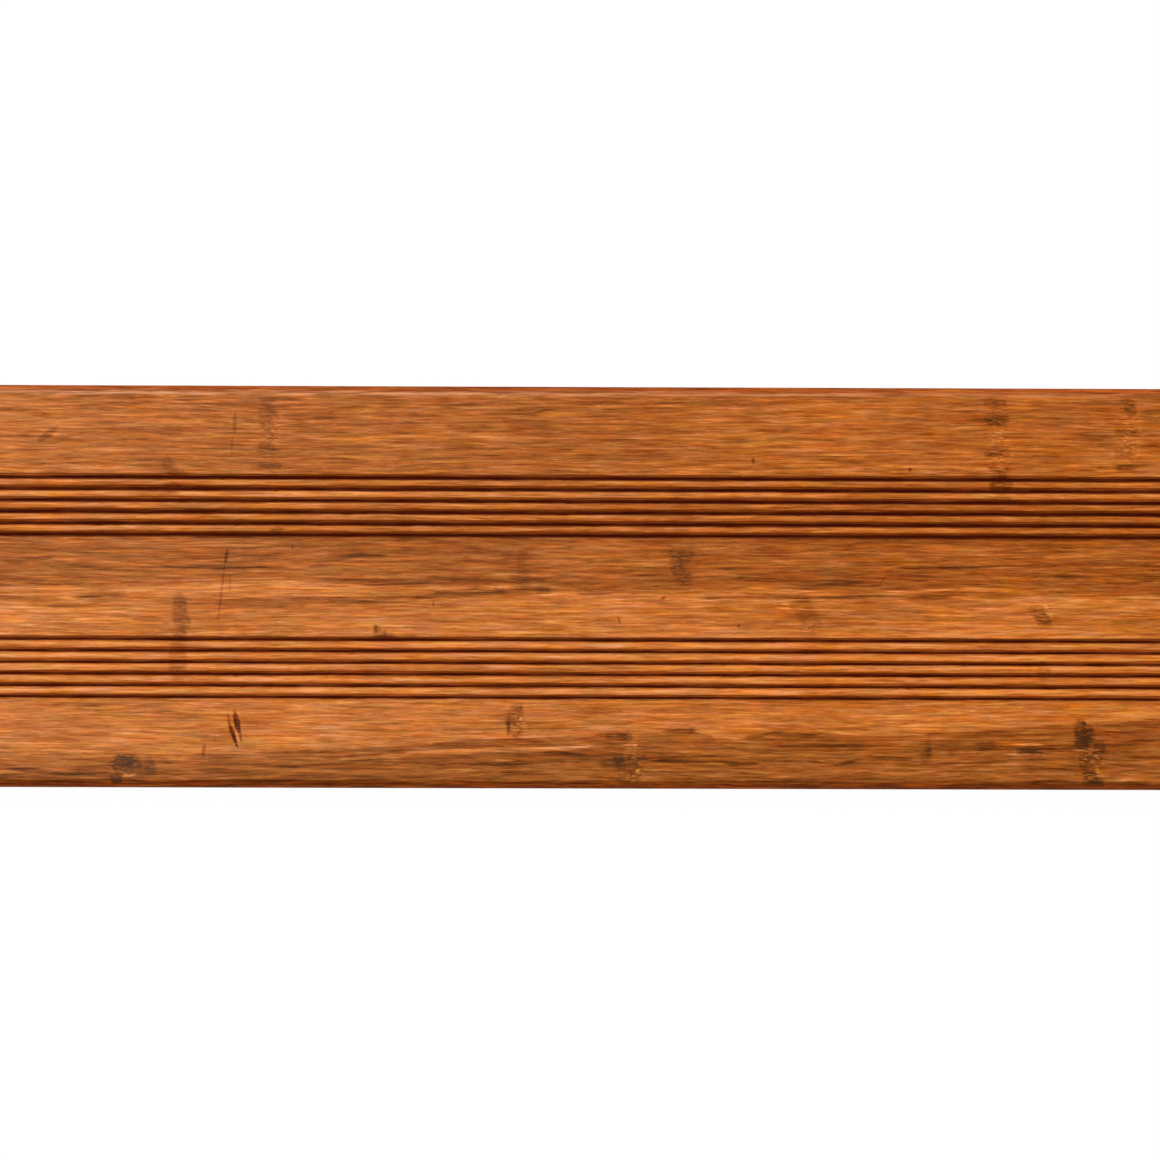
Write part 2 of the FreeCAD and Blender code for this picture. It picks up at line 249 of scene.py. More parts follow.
# Crushed bamboo joints, blotch by blotch: x, y, half length along the grain, half height and darkness
JOINTS = (
    (174.0, -48.6, 2.4, 2.8, 1.00), (176.0, -50.6, 2.8, 3.0, 1.10), (174.6, -53.2, 3.6, 2.2, 1.15), (180.0, -54.8, 2.6, 1.2, 0.75), (178.0, -58.5, 5.5, 3.4, 0.50),
    (174.5, -60.0, 2.0, 2.2, 0.80), (176.8, -64.5, 2.6, 2.2, 0.95), (178.3, -67.2, 3.6, 1.3, 0.90),
    (15.4, -51.6, 2.4, 1.7, 1.00), (11.6, -52.3, 3.0, 1.2, 0.70), (13.6, -59.4, 2.4, 1.7, 0.95),
    (10.6, -62.0, 3.8, 1.4, 0.62), (14.2, -62.8, 2.2, 1.7, 0.95), (20.6, -59.4, 3.0, 2.2, 0.60),
    (17.5, -61.5, 3.6, 3.8, 0.55), (17.0, -66.3, 5.0, 1.9, 0.55), (35.0, -50.0, 6.5, 1.5, 0.62),
    (-157.0, -61.7, 5.6, 3.0, 1.10), (-160.2, -66.7, 2.2, 2.2, 1.00), (-149.1, -62.7, 2.6, 3.4, 0.62),
    (-21.8, -43.0, 2.6, 3.0, 0.68), (-23.4, -47.0, 2.8, 3.4, 0.62), (-21.8, -50.6, 2.6, 2.0, 0.58),
    (35.0, 11.4, 4.8, 3.0, 0.72), (34.0, 6.0, 3.2, 2.4, 0.66), (35.5, 2.8, 4.8, 2.0, 0.60),
    (35.0, 24.0, 5.0, 6.0, 0.34), (36.0, 30.5, 5.0, 2.0, 0.40),
    (-20.0, 13.0, 3.0, 1.4, 0.45), (-20.4, 8.0, 3.0, 1.8, 0.36), (-21.0, 3.0, 4.6, 2.4, 0.45),
    (-13.2, -1.3, 3.2, 1.5, 0.62), (-28.0, -1.0, 2.4, 0.7, 0.55),
    (-139.0, -8.6, 3.0, 6.6, 0.58), (-137.6, -12.6, 2.8, 3.4, 0.56), (-139.0, -16.6, 3.0, 1.2, 0.70), (-139.5, -26.0, 3.8, 9.0, 0.40), (77.0, -6.5, 4.6, 3.4, 0.48),
    (80.0, -13.0, 4.6, 4.6, 0.44), (159.6, -9.0, 3.2, 1.5, 0.72), (161.4, -11.3, 3.4, 1.2, 0.78),
    (159.0, -6.4, 2.8, 0.9, 0.45), (161.0, -29.0, 3.0, 4.0, 0.40),
    (144.6, 64.9, 4.2, 1.3, 0.72), (145.0, 59.0, 4.8, 2.9, 0.74), (145.8, 50.2, 4.0, 1.2, 0.48),
    (145.0, 47.1, 4.8, 1.1, 0.72), (146.0, 41.9, 4.4, 1.7, 0.72), (146.4, 36.2, 4.4, 4.0, 0.72),
    (146.5, 31.2, 3.8, 1.2, 0.50),
    (190.0, 65.4, 4.4, 1.5, 0.66), (191.8, 61.0, 3.6, 1.5, 0.66), (190.6, 54.5, 4.4, 1.9, 0.74),
    (189.5, 46.6, 3.8, 1.1, 0.62), (190.0, 42.5, 4.4, 1.6, 0.72),
    (-109.0, 64.0, 3.4, 2.4, 0.52), (-108.8, 60.2, 4.2, 1.7, 0.62), (-109.4, 56.0, 3.2, 2.4, 0.56),
    (-107.6, 53.4, 3.4, 1.6, 0.52), (-109.4, 49.6, 3.0, 1.6, 0.60), (-108.6, 46.6, 4.2, 1.8, 0.66),
    (-108.2, 42.0, 4.4, 2.4, 0.58),
    (-140.6, 39.0, 4.0, 1.6, 0.55), (-142.0, 34.2, 3.4, 2.4, 0.46), (-143.4, 42.6, 3.0, 1.8, 0.58),
    (-68.0, -17.0, 4.0, 1.4, 0.60), (-70.6, -14.8, 1.0, 1.6, 0.80), (54.0, 20.6, 3.4, 1.2, 0.40),
    (-105.5, 19.6, 2.6, 1.2, 0.50), (120.2, -50.6, 2.2, 0.8, 0.50), (121.2, -54.4, 1.2, 3.6, 0.24),
    (120.4, -57.6, 1.8, 1.2, 0.62), (120.0, -59.0, 2.6, 0.8, 0.55), (156.0, -56.0, 6.0, 1.5, 0.95),
    (141.0, -54.6, 3.6, 2.0, 0.50),
)

# Where pale crumbs of the inner wall lie in a crushed joint: x, y, half length, half height and amount
CRUMBS = (
    (178.0, -58.6, 7.0, 4.6, 1.0), (178.0, -64.0, 6.0, 4.0, 0.7), (18.6, -59.4, 5.0, 3.0, 1.0),
    (18.0, -65.6, 6.5, 2.6, 1.0), (19.0, -54.6, 3.6, 1.6, 0.9), (-157.0, -65.4, 5.0, 1.6, 0.9),
    (-161.4, -62.0, 1.2, 1.4, 0.9), (146.0, 50.0, 5.0, 19.0, 0.6), (191.0, 55.0, 6.0, 15.0, 0.6),
    (34.0, 8.0, 5.0, 9.0, 0.4), (161.0, -9.0, 5.0, 4.0, 0.6), (-108.0, 53.0, 5.0, 15.0, 0.5),
    (-21.5, -47.0, 3.8, 5.5, 1.0), (80.0, -14.0, 5.0, 3.4, 0.6),
)

# Strands that are lighter or darker than the rest: x, y, half length, half height and change of tone
PATCHES = (
    (-95.0, 60.0, 50.0, 7.0, -0.06), (-105.0, 53.0, 35.0, 3.5, -0.03), (-190.0, 57.0, 30.0, 6.0, 0.06),
    (-190.0, 48.0, 60.0, 3.5, 0.03), (-145.0, 47.0, 40.0, 4.0, 0.05), (-68.0, 47.0, 25.0, 3.5, 0.06),
    (-120.0, 44.0, 22.0, 3.5, -0.04), (8.0, 53.0, 38.0, 6.0, -0.09), (12.0, 64.0, 25.0, 3.0, -0.06),
    (-5.0, 46.0, 25.0, 4.0, -0.04), (40.0, 47.0, 30.0, 4.0, -0.07), (80.0, 57.0, 45.0, 6.0, 0.09),
    (100.0, 62.0, 40.0, 3.5, 0.05), (130.0, 44.0, 20.0, 3.5, 0.05), (175.0, 49.0, 45.0, 4.0, -0.06),
    (188.0, 43.5, 40.0, 4.0, 0.09), (150.0, 53.5, 30.0, 3.0, 0.03), (60.0, 40.5, 80.0, 3.0, 0.04),
    (-119.0, 64.8, 16.0, 3.0, 0.11), (-130.0, 24.0, 95.0, 6.0, 0.05), (100.0, 24.0, 50.0, 5.0, -0.03),
    (-85.0, 15.0, 60.0, 4.0, -0.04), (-122.0, 9.0, 25.0, 3.5, -0.07), (-45.0, 11.5, 25.0, 4.0, -0.06),
    (5.0, 10.0, 26.0, 6.0, 0.08), (-10.0, 4.0, 22.0, 4.0, 0.05), (-105.0, 5.5, 28.0, 3.0, 0.05),
    (-178.0, 3.0, 22.0, 5.0, 0.05), (100.0, 3.5, 60.0, 5.0, -0.06), (125.0, 12.0, 25.0, 3.5, 0.06),
    (188.0, 10.0, 20.0, 3.5, -0.05), (-125.0, -6.5, 70.0, 3.5, -0.07), (-55.0, -5.0, 20.0, 3.0, -0.08),
    (-190.0, -11.0, 30.0, 4.0, 0.09), (-100.0, -12.0, 60.0, 3.5, -0.04), (-12.0, -13.0, 35.0, 3.0, -0.07),
    (35.0, -13.0, 20.0, 3.0, -0.06), (15.0, -9.0, 40.0, 3.5, 0.05), (95.0, -9.5, 35.0, 6.0, -0.08),
    (88.0, -3.5, 18.0, 3.0, -0.05), (180.0, -5.0, 35.0, 3.5, 0.07), (175.0, -10.5, 30.0, 3.0, -0.05),
    (160.0, -16.3, 60.0, 3.0, 0.07), (-60.0, -16.3, 60.0, 3.0, 0.04), (-175.0, -42.0, 50.0, 4.0, -0.09),
    (-190.0, -50.5, 25.0, 3.0, -0.06), (-115.0, -43.0, 30.0, 5.0, 0.05), (-85.0, -46.0, 20.0, 3.5, 0.05),
    (-93.0, -52.0, 25.0, 5.0, 0.09), (-98.0, -60.5, 22.0, 3.5, 0.10), (-145.0, -54.0, 28.0, 4.0, 0.06),
    (-133.0, -49.0, 15.0, 3.0, -0.05), (-8.0, -44.0, 25.0, 6.0, -0.07), (-20.0, -60.0, 14.0, 6.0, -0.07),
    (24.0, -47.5, 12.0, 4.0, 0.07), (3.0, -51.0, 12.0, 3.0, 0.07), (80.0, -40.0, 25.0, 3.0, -0.10),
    (78.0, -49.5, 28.0, 4.0, -0.10), (125.0, -43.5, 40.0, 5.0, 0.06), (116.0, -50.3, 16.0, 3.0, 0.09),
    (13.0, -55.0, 12.0, 3.5, -0.06), (45.0, -58.0, 25.0, 6.0, 0.05), (65.0, -61.0, 30.0, 3.5, 0.04),
    (108.0, -67.0, 30.0, 2.6, 0.07), (150.0, -48.0, 18.0, 3.0, -0.06), (185.0, -52.0, 15.0, 3.5, -0.06),
    (178.0, -61.0, 20.0, 5.0, -0.05), (140.0, -66.0, 40.0, 3.5, 0.06), (-158.0, -63.5, 25.0, 3.5, -0.07),
    (-190.0, -68.6, 45.0, 3.0, -0.13), (198.0, -57.0, 15.0, 3.5, 0.05), (-20.0, -34.0, 30.0, 5.0, -0.06),
    (-150.0, -31.5, 30.0, 3.5, -0.07), (-50.0, -25.0, 45.0, 4.0, -0.04), (-140.0, 33.0, 30.0, 3.0, -0.09),
    (-50.0, 35.5, 22.0, 4.5, -0.08), (-165.0, 21.0, 45.0, 4.5, 0.08), (-95.0, 31.5, 25.0, 2.5, 0.10),
    (-198.0, 32.0, 20.0, 4.5, 0.12), (55.0, -30.5, 35.0, 4.0, 0.08), (165.0, -37.5, 45.0, 3.0, 0.06),
    (190.0, -41.0, 25.0, 3.5, 0.06), (130.0, 16.0, 75.0, 3.5, -0.06), (108.0, -0.5, 20.0, 3.0, -0.08),
    (200.0, -2.0, 18.0, 3.0, -0.06), (-138.0, -1.0, 22.0, 3.0, -0.07), (-115.0, -63.0, 18.0, 3.5, -0.05),
    (70.0, -45.0, 24.0, 4.0, 0.06), (195.0, -66.0, 25.0, 3.5, 0.07), (-88.0, -1.0, 15.0, 3.0, -0.05),
    (-8.0, 8.6, 12.0, 3.0, -0.05),
    (-175.0, -8.0, 22.0, 3.0, -0.04), (188.0, -14.0, 18.0, 3.0, -0.05), (195.0, 44.5, 25.0, 3.5, 0.06),
    (-202.0, 64.0, 20.0, 5.0, 0.06), (-200.0, -56.0, 22.0, 3.5, 0.06), (-82.0, -3.8, 12.0, 3.0, 0.06),
    (185.0, 12.6, 28.0, 2.8, 0.05), (-182.0, 42.0, 20.0, 3.0, 0.05), (-106.0, 48.0, 14.0, 3.5, 0.04),
    (142.0, -59.6, 14.0, 3.0, 0.05), (-180.0, -16.5, 22.0, 3.0, -0.06), (-126.0, -15.0, 16.0, 3.0, -0.06), (-49.0, -13.4, 14.0, 3.0, -0.05),
    (-89.0, -14.0, 14.0, 3.0, -0.05), (143.0, -12.0, 14.0, 3.0, -0.04), (40.0, -7.0, 14.0, 3.0, -0.05),
    (4.0, -60.0, 12.0, 3.0, 0.06), (38.0, -59.0, 14.0, 3.0, 0.06), (3.0, -66.0, 20.0, 3.0, 0.06),
    (108.0, -57.5, 16.0, 3.0, 0.06), (-202.0, 50.0, 12.0, 3.0, 0.06), (155.0, 63.5, 22.0, 3.0, 0.06),
    (-69.0, 16.6, 14.0, 3.0, 0.05), (-184.0, 50.0, 12.0, 2.5, 0.04), (48.0, -52.0, 12.0, 3.0, 0.05),
    (-60.0, -61.0, 12.0, 3.0, 0.05), (-60.0, 61.0, 12.0, 3.0, 0.05), (-155.0, 55.0, 12.0, 3.0, 0.04), (0.0, 0.0, 14.0, 3.0, -0.04), (-25.0, -13.0, 15.0, 3.0, -0.04),
)

# Single marks: x, y, lean in degrees from the grain, half length, half width and change of tone
MARKS = (
    (-120.4, 56.8, 88.0, 4.6, 0.90, -0.12), (-121.3, 49.0, 88.0, 4.0, 0.70, -0.07),
    (-122.9, 10.3, 81.0, 3.0, 0.75, -0.18), (-124.6, -2.5, 83.5, 11.0, 0.55, -0.11),
    (-121.6, 0.8, 88.0, 3.6, 0.45, -0.08), (-121.5, -47.8, -82.0, 4.4, 0.60, -0.14),
    (-119.8, -52.2, -71.0, 5.0, 0.80, -0.38), (-118.8, -47.4, -78.0, 4.2, 1.20, -0.38),
    (-117.5, -51.8, -82.0, 2.8, 0.55, -0.20), (-118.7, -52.6, -76.0, 2.6, 0.45, 0.15),
    (-130.2, -57.2, 86.0, 2.6, 0.85, -0.17),
    (-126.4, -52.8, 88.0, 2.0, 0.40, -0.08),
    (60.0, 44.2, 100.0, 1.4, 0.70, -0.18), (13.5, -11.6, 105.0, 1.6, 0.55, -0.18),
    (-71.0, -14.8, 85.0, 1.6, 0.80, -0.18), (-67.8, -16.4, 80.0, 1.3, 0.80, -0.14),
    (-51.0, -6.0, 80.0, 1.1, 0.40, -0.18), (28.8, -3.8, 40.0, 1.1, 0.60, -0.20),
    (55.0, -13.5, 90.0, 0.7, 0.60, -0.18), (114.7, 41.2, 90.0, 0.8, 0.80, -0.20), (-24.8, -48.4, 88.0, 3.8, 0.70, -0.18), (120.9, -54.3, 88.0, 4.5, 1.1, -0.04),
    (-100.0, 13.6, 90.0, 1.1, 0.40, -0.14), (-185.4, 52.4, 38.0, 4.8, 1.40, -0.15),
    (-128.5, 6.5, 0.0, 28.0, 0.65, -0.13), (-166.0, -3.5, 0.0, 10.5, 1.30, -0.10),
    (122.0, -0.7, 1.6, 26.0, 0.60, 0.08), (-7.0, -55.6, 1.5, 10.5, 0.90, 0.08),
    (-38.0, -56.8, 2.0, 23.0, 0.60, 0.10), (175.5, -56.2, 0.0, 5.2, 0.55, 0.30),
    (17.4, -54.8, 0.0, 3.4, 0.38, 0.22),
    (18.7, -56.0, 0.0, 3.5, 0.38, 0.16), (-155.8, -65.7, 8.0, 3.1, 0.70, 0.22),
    (155.5, -54.3, 0.0, 6.5, 0.50, 0.30), (154.0, -57.7, 0.0, 7.0, 0.50, 0.30), (20.0, -63.7, 0.0, 0.9, 0.50, 0.35),
)

# Marks that are cut into the face: x, y, lean in degrees, half length, half width and depth
CUTS = (
    (-119.8, -52.2, -71.0, 5.0, 0.85, 0.50), (-118.8, -47.4, -78.0, 4.2, 1.20, 0.50),
    (-122.9, 10.3, 81.0, 3.0, 0.75, 0.10),
)


class BoardSizes(bpy.types.PropertyGroup):
    """The board's section, as the moulder cuts it, and how far the cut strays."""

    groove_pitch: FloatProperty(
        name="Groove Pitch", description="From one groove of a band to the next",
        default=4.0 * MM, unit="LENGTH", precision=5)
    groove_mouth: FloatProperty(
        name="Groove Mouth", description="Width of a groove at the face",
        default=1.5 * MM, unit="LENGTH", precision=5)
    groove_floor: FloatProperty(
        name="Groove Floor", description="Width of a groove at its bottom",
        default=1.1 * MM, unit="LENGTH", precision=5)
    groove_depth: FloatProperty(
        name="Groove Depth", description="Depth of a groove below the face",
        default=2.0 * MM, unit="LENGTH", precision=5)
    band_distance: FloatProperty(
        name="Band Distance", description="From the middle of one reeded band to the middle of the other",
        default=56.5 * MM, unit="LENGTH", precision=5)
    grooves_per_band: IntProperty(
        name="Grooves per Band", description="How many grooves a reeded band has",
        default=6, min=1, max=12)
    crest_rise: FloatProperty(
        name="Reed Crest Rise", description="How far a reed's middle stands above its edges",
        default=0.5 * MM, unit="LENGTH", precision=5)
    reed_edge_radius: FloatProperty(
        name="Reed Edge Radius", description="Rounding of a reed's edges by oil and wear",
        default=0.12 * MM, unit="LENGTH", precision=5)
    land_edge_radius: FloatProperty(
        name="Land Edge Radius", description="Rounding of a plain land's edge beside a groove",
        default=0.25 * MM, unit="LENGTH", precision=5)
    bevel_width: FloatProperty(
        name="Face Bevel Width", description="Width of the bevel along the long edges of the face",
        default=2.6 * MM, unit="LENGTH", precision=5)
    bevel_depth: FloatProperty(
        name="Face Bevel Depth", description="How far the bevel runs down the side",
        default=2.2 * MM, unit="LENGTH", precision=5)
    bevel_radius: FloatProperty(
        name="Face Bevel Radius", description="Rounding of the bevel's two edges",
        default=0.8 * MM, unit="LENGTH", precision=5)
    back_arris: FloatProperty(
        name="Back Arris Radius", description="Rounding of the long edges of the back",
        default=2.0 * MM, unit="LENGTH", precision=5)
    slot_height: FloatProperty(
        name="Clip Slot Height", description="Height of the slot in each side",
        default=6.0 * MM, unit="LENGTH", precision=5)
    slot_depth: FloatProperty(
        name="Clip Slot Depth", description="Depth of the slot in each side",
        default=8.0 * MM, unit="LENGTH", precision=5)
    slot_lip: FloatProperty(
        name="Clip Slot Lip Radius", description="Rounding of the slot's mouth",
        default=0.6 * MM, unit="LENGTH", precision=5)
    slot_floor_radius: FloatProperty(
        name="Clip Slot Floor Radius", description="Rounding of the slot's inner corners",
        default=1.0 * MM, unit="LENGTH", precision=5)
    sawn_arris: FloatProperty(
        name="Sawn Arris", description="How far the edge of a sawn end is worn back",
        default=0.15 * MM, unit="LENGTH", precision=5)
    edge_wander: FloatProperty(
        name="Edge Wander", description="How far the edge of a groove strays to a side",
        default=0.12 * MM, unit="LENGTH", precision=5)
    chip_depth: FloatProperty(
        name="Chip Depth", description="Depth of the chips along the reeds and land edges",
        default=0.30 * MM, unit="LENGTH", precision=5)
    strand_relief: FloatProperty(
        name="Strand Relief", description="How far the softer strands lie below the harder ones",
        default=0.05 * MM, unit="LENGTH", precision=5)


def linear(*byte_colour):
    """The scene-linear colour of a display colour given as three bytes."""
    shares = [value / 255 for value in byte_colour]
    return [share / 12.92 if share <= 0.04045 else ((share + 0.055) / 1.055) ** 2.4 for share in shares]


def colour_property(name, description, *byte_colour):
    """A colour that the panel shows, with a display colour as its default."""
    return FloatVectorProperty(
        name=name, description=description, default=linear(*byte_colour),
        subtype="COLOR", size=3, min=0.0, max=1.0)


class BambooColours(bpy.types.PropertyGroup):
    """The colours of carbonised, oiled bamboo strands, evenly spaced in tone from 0.2 to 0.9, and of the painted
    shade, painted highlight and painted tint laid on them.
    """

    burnt: colour_property("Burnt Strand", "Vessel lines and burnt strands", 66, 28, 0)
    darkest: colour_property("Darkest Strand", "Strands that were steamed longest", 98, 46, 4)
    dark: colour_property("Dark Strand", "Dark strands", 128, 64, 15)
    dull: colour_property("Dull Strand", "Strands between dark and middle", 155, 82, 27)
    middle: colour_property("Middle Strand", "Most of the strands", 179, 101, 41)
    light: colour_property("Light Strand", "Strands of the inner wall", 203, 120, 56)
    lighter: colour_property("Lighter Strand", "The lightest strands", 226, 140, 73)
    pale: colour_property("Pale Fibre", "Pale fibres and crumbs", 246, 164, 98)
    bruise: colour_property("Bruised Strand", "The strands round a crushed bamboo joint", 126, 72, 34)
    pith: colour_property("Crushed Joint", "The dark pith of a crushed bamboo joint", 68, 39, 16)
    # Painted shade: the colour that darkens the grooves
    painted_groove_shade: colour_property("Painted Groove Shade", "The painted shade in the grooves, darker on their -Y side", 67, 9, 0)
    # Painted highlight: the pale strip along the +Y edge of the face
    painted_arris_highlight: colour_property("Painted Arris Highlight", "The painted highlight along the +Y edge of the face", 255, 184, 138)
    # Painted lack of sheen: the tint of the faces that turn down, which catch no sheen
    painted_unsheened_tint: colour_property("Painted Unsheened Tint", "How the faces that turn down are painted redder and darker, for the sheen they do not catch", 252, 220, 168)


class StudioSettings(bpy.types.PropertyGroup):
    """The camera, the light and the floor."""

    frame_width: FloatProperty(
        name="Frame Width", description="Width of the board's face that the camera sees",
        default=402.9 * MM, unit="LENGTH", precision=4)
    camera_height: FloatProperty(
        name="Camera Height", description="Height of the camera above the board's face",
        default=1.0, unit="LENGTH")
    view_middle: FloatProperty(
        name="View Middle", description="How far to the +Y side of the board's middle the camera looks",
        default=2.33 * MM, unit="LENGTH", precision=4)
    camera_across: FloatProperty(
        name="Camera Offset", description="How far the camera stands to the +Y side of the board's middle",
        default=-45.0 * MM, unit="LENGTH", precision=4)
    camera_along: FloatProperty(
        name="Camera Advance", description="How far the camera stands to the +X side of the board's middle",
        default=-7.0 * MM, unit="LENGTH", precision=4)
    camera_turn: FloatProperty(
        name="Camera Turn", description="How far the camera is turned about its own axis",
        default=math.radians(0.162), subtype="ANGLE")
    key_place: FloatVectorProperty(
        name="Key Light Place", description="Where the large soft lamp hangs: high, towards -X and +Y",
        default=(-0.75, 0.30, 2.13), subtype="TRANSLATION", size=3)
    key_strength: FloatProperty(
        name="Key Light", description="Power of the large soft lamp",
        default=46.6, unit="POWER")
    sky_strength: FloatProperty(
        name="Room Light", description="Strength of the even light from all round", default=0.25)
    floor_colour: colour_property("Floor", "The pale studio floor", 214, 214, 214)


def groove_centres(sizes):
    """Where the grooves of both bands run, in millimetres from +Y to -Y."""
    pitch = sizes.groove_pitch / MM
    band = sizes.band_distance / MM / 2
    middle = (sizes.grooves_per_band - 1) / 2
    return [side * band + (middle - i) * pitch for side in (1, -1) for i in range(sizes.grooves_per_band)]


def crest_corners(start, end, top, rise):
    """Plain points along a reed's crest, which rises between its two edges."""
    pieces = 6
    corners = []
    for i in range(1, pieces):
        share = i / pieces
        drop = rise * (2 * share - 1) ** 2
        corners.append((start + (end - start) * share, top - drop, 0.0, 0, BOARD_WIDTH))
    return corners


def section_corners(sizes):
    """The section's corners once round from the back's -Y edge: y, z, radius, arc steps and the spacing of
    the points on the straight run that follows."""
    side = BOARD_WIDTH / 2
    top = BOARD_THICKNESS
    none = BOARD_WIDTH
    back = 35.0
    land = 2.6
    corners = [
        (-side, 0.0, sizes.back_arris / MM, 3, back),
        (side, 0.0, sizes.back_arris / MM, 3, none),
    ]
    floor = side - sizes.slot_depth / MM
    low = top / 2 - sizes.slot_height / MM / 2
    high = top / 2 + sizes.slot_height / MM / 2
    slot = [
        (side, low, sizes.slot_lip / MM, 1, none),
        (floor, low, sizes.slot_floor_radius / MM, 1, none),
        (floor, high, sizes.slot_floor_radius / MM, 1, none),
        (side, high, sizes.slot_lip / MM, 1, none),
    ]
    corners += slot
    bevel_width = sizes.bevel_width / MM
    bevel_low = top - sizes.bevel_depth / MM
    bevel_radius = sizes.bevel_radius / MM
    corners.append((side, bevel_low, bevel_radius, 2, none))
    corners.append((side - bevel_width, top, bevel_radius, 2, land))
    half_mouth = sizes.groove_mouth / MM / 2
    half_floor = sizes.groove_floor / MM / 2
    bottom = top - sizes.groove_depth / MM
    rise = sizes.crest_rise / MM
    reed_edge = (top - rise, sizes.reed_edge_radius / MM, 1)
    land_edge = (top, sizes.land_edge_radius / MM, 1)
    last = sizes.grooves_per_band - 1
    centres = groove_centres(sizes)
    for index, centre in enumerate(centres):
        place = index % sizes.grooves_per_band
        upper = land_edge if place == 0 else reed_edge
        lower = land_edge if place == last else reed_edge
        corners += [
            (centre + half_mouth, *upper, none),
            (centre + half_floor, bottom, 0.0, 0, none),
            (centre - half_floor, bottom, 0.0, 0, none),
            (centre - half_mouth, *lower, land if place == last else none),
        ]
        if place != last:
            corners += crest_corners(centre - half_mouth, centres[index + 1] + half_mouth, top, rise)
    corners.append((bevel_width - side, top, bevel_radius, 2, none))
    corners.append((-side, bevel_low, bevel_radius, 2, none))
    corners += [(-y, z, radius, steps, spacing) for y, z, radius, steps, spacing in reversed(slot)]
    return corners


def rounded_corner(before, corner, after, radius, steps):
    """Points along the arc that rounds a corner of the section, or the corner itself."""
    if steps == 0:
        return [corner]
    to_before = (before - corner).normalized()
    to_after = (after - corner).normalized()
    half_angle = to_before.angle(to_after) / 2
    tangent = min(radius / math.tan(half_angle), 0.49 * min((before - corner).length, (after - corner).length))
    arc_radius = tangent * math.tan(half_angle)
    centre = corner + (to_before + to_after).normalized() * (arc_radius / math.sin(half_angle))
    start = corner + to_before * tangent - centre
    end = corner + to_after * tangent - centre
    turn = start.angle(end)
    points = []
    for i in range(steps + 1):
        share = i / steps
        arm = start * math.sin((1 - share) * turn) + end * math.sin(share * turn)
        points.append(centre + arm / math.sin(turn))
    return points


def section_points(sizes):
    """The section as a closed row of (y, z) points in millimetres, with a point close inside each end of the
    plain lands, so that the lands shade flat."""
    corners = section_corners(sizes)
    at = [Vector((y, z)) for y, z, _, _, _ in corners]
    arcs = []
    for i, (_, _, radius, steps, _) in enumerate(corners):
        arcs.append(rounded_corner(at[i - 1], at[i], at[(i + 1) % len(at)], radius, steps))
    inset = 0.25
    points = []
    for i, (_, _, _, _, spacing) in enumerate(corners):
        points += arcs[i]
        run = arcs[(i + 1) % len(arcs)][0] - arcs[i][-1]
        pieces = round(run.length / spacing)
        if pieces > 1:
            along = run.normalized()
            points.append(arcs[i][-1] + along * inset)
            points += [arcs[i][-1] + run * (k / pieces) for k in range(1, pieces)]
            points.append(arcs[(i + 1) % len(arcs)][0] - along * inset)
    return np.array([(p.x, p.y) for p in points])


def station_places():
    """Where the section is repeated along the board: close together where the camera looks."""
    half = BOARD_LENGTH / 2
    coarse_count = round((half - SEEN_HALF) / COARSE_STEP)
    places = [np.linspace(-half, -SEEN_HALF, coarse_count, endpoint=False)]
    reached = -SEEN_HALF
    for start, end, step in (*CUT_STRETCHES, (SEEN_HALF, SEEN_HALF, FINE_STEP)):
        places.append(np.linspace(reached, start, round((start - reached) / FINE_STEP), endpoint=False))
        places.append(np.linspace(start, end, round((end - start) / step), endpoint=False))
        reached = end
    places.append(np.linspace(SEEN_HALF, half, coarse_count + 1))
    return np.concatenate(places)


def smooth_noise(u, v, seed):
    """Smooth random values from -1 to 1, one hump to each whole number of u and v."""
    table = np.random.default_rng(seed).uniform(-1, 1, (256, 256))
    column = np.floor(u).astype(int)
    row = np.floor(v).astype(int)
    across = u - column
    up = v - row
    across = across * across * (3 - 2 * across)
    up = up * up * (3 - 2 * up)
    low = table[column % 256, row % 256] * (1 - across) + table[(column + 1) % 256, row % 256] * across
    high = table[column % 256, (row + 1) % 256] * (1 - across) + table[(column + 1) % 256, (row + 1) % 256] * across
    return low * (1 - up) + high * up


def blot(x, y, centre_x, centre_y, half_length, half_height, lean=0.0):
    """A round-topped hump of height 1 over a leaning ellipse."""
    cosine = math.cos(math.radians(lean))
    sine = math.sin(math.radians(lean))
    along = ((x - centre_x) * cosine + (y - centre_y) * sine) / half_length
    across = ((y - centre_y) * cosine - (x - centre_x) * sine) / half_height
    return np.clip(1 - along * along - across * across, 0.0, 1.0)


def board_vertices(sizes, section, places):
    """The vertices of every station, in millimetres, with the strands' relief, the strayed groove edges and
    the cuts in the face."""
    x, y = np.meshgrid(places, section[:, 0], indexing="ij")
    z = np.broadcast_to(section[:, 1], x.shape).copy()
    on_face = z > BOARD_THICKNESS - 1.2
    in_bands = np.clip(46.0 - np.abs(y), 0.0, 4.0) / 4.0 * (z > BOARD_THICKNESS / 2)
    wander = smooth_noise(x / 14.0, y / 1.7, 1) + 0.5 * smooth_noise(x / 4.0, y / 1.3, 2)
    y = y + wander * in_bands * sizes.edge_wander / MM
    relief = (smooth_noise(x / 45.0, y / 1.8, 3) - 1) / 2 * sizes.strand_relief / MM
    depth = np.clip((BOARD_THICKNESS - z) / 0.6, 0.0, 1.0)
    near_edge = (depth > 0.3) & (depth < 1.0) & (np.abs(y) < 46.0)
    chips = np.clip(smooth_noise(x / 2.6, y / 1.4, 4) - 0.55, 0.0, 0.45) / 0.45
    relief = relief - chips * near_edge * sizes.chip_depth / MM
    for cut_x, cut_y, lean, half_length, half_width, cut_depth in CUTS:
        relief = relief - cut_depth * blot(x, y, cut_x, cut_y, half_length, half_width, lean)
    z = np.where(on_face, z + relief, z)
    return np.stack([x, y, z], -1)


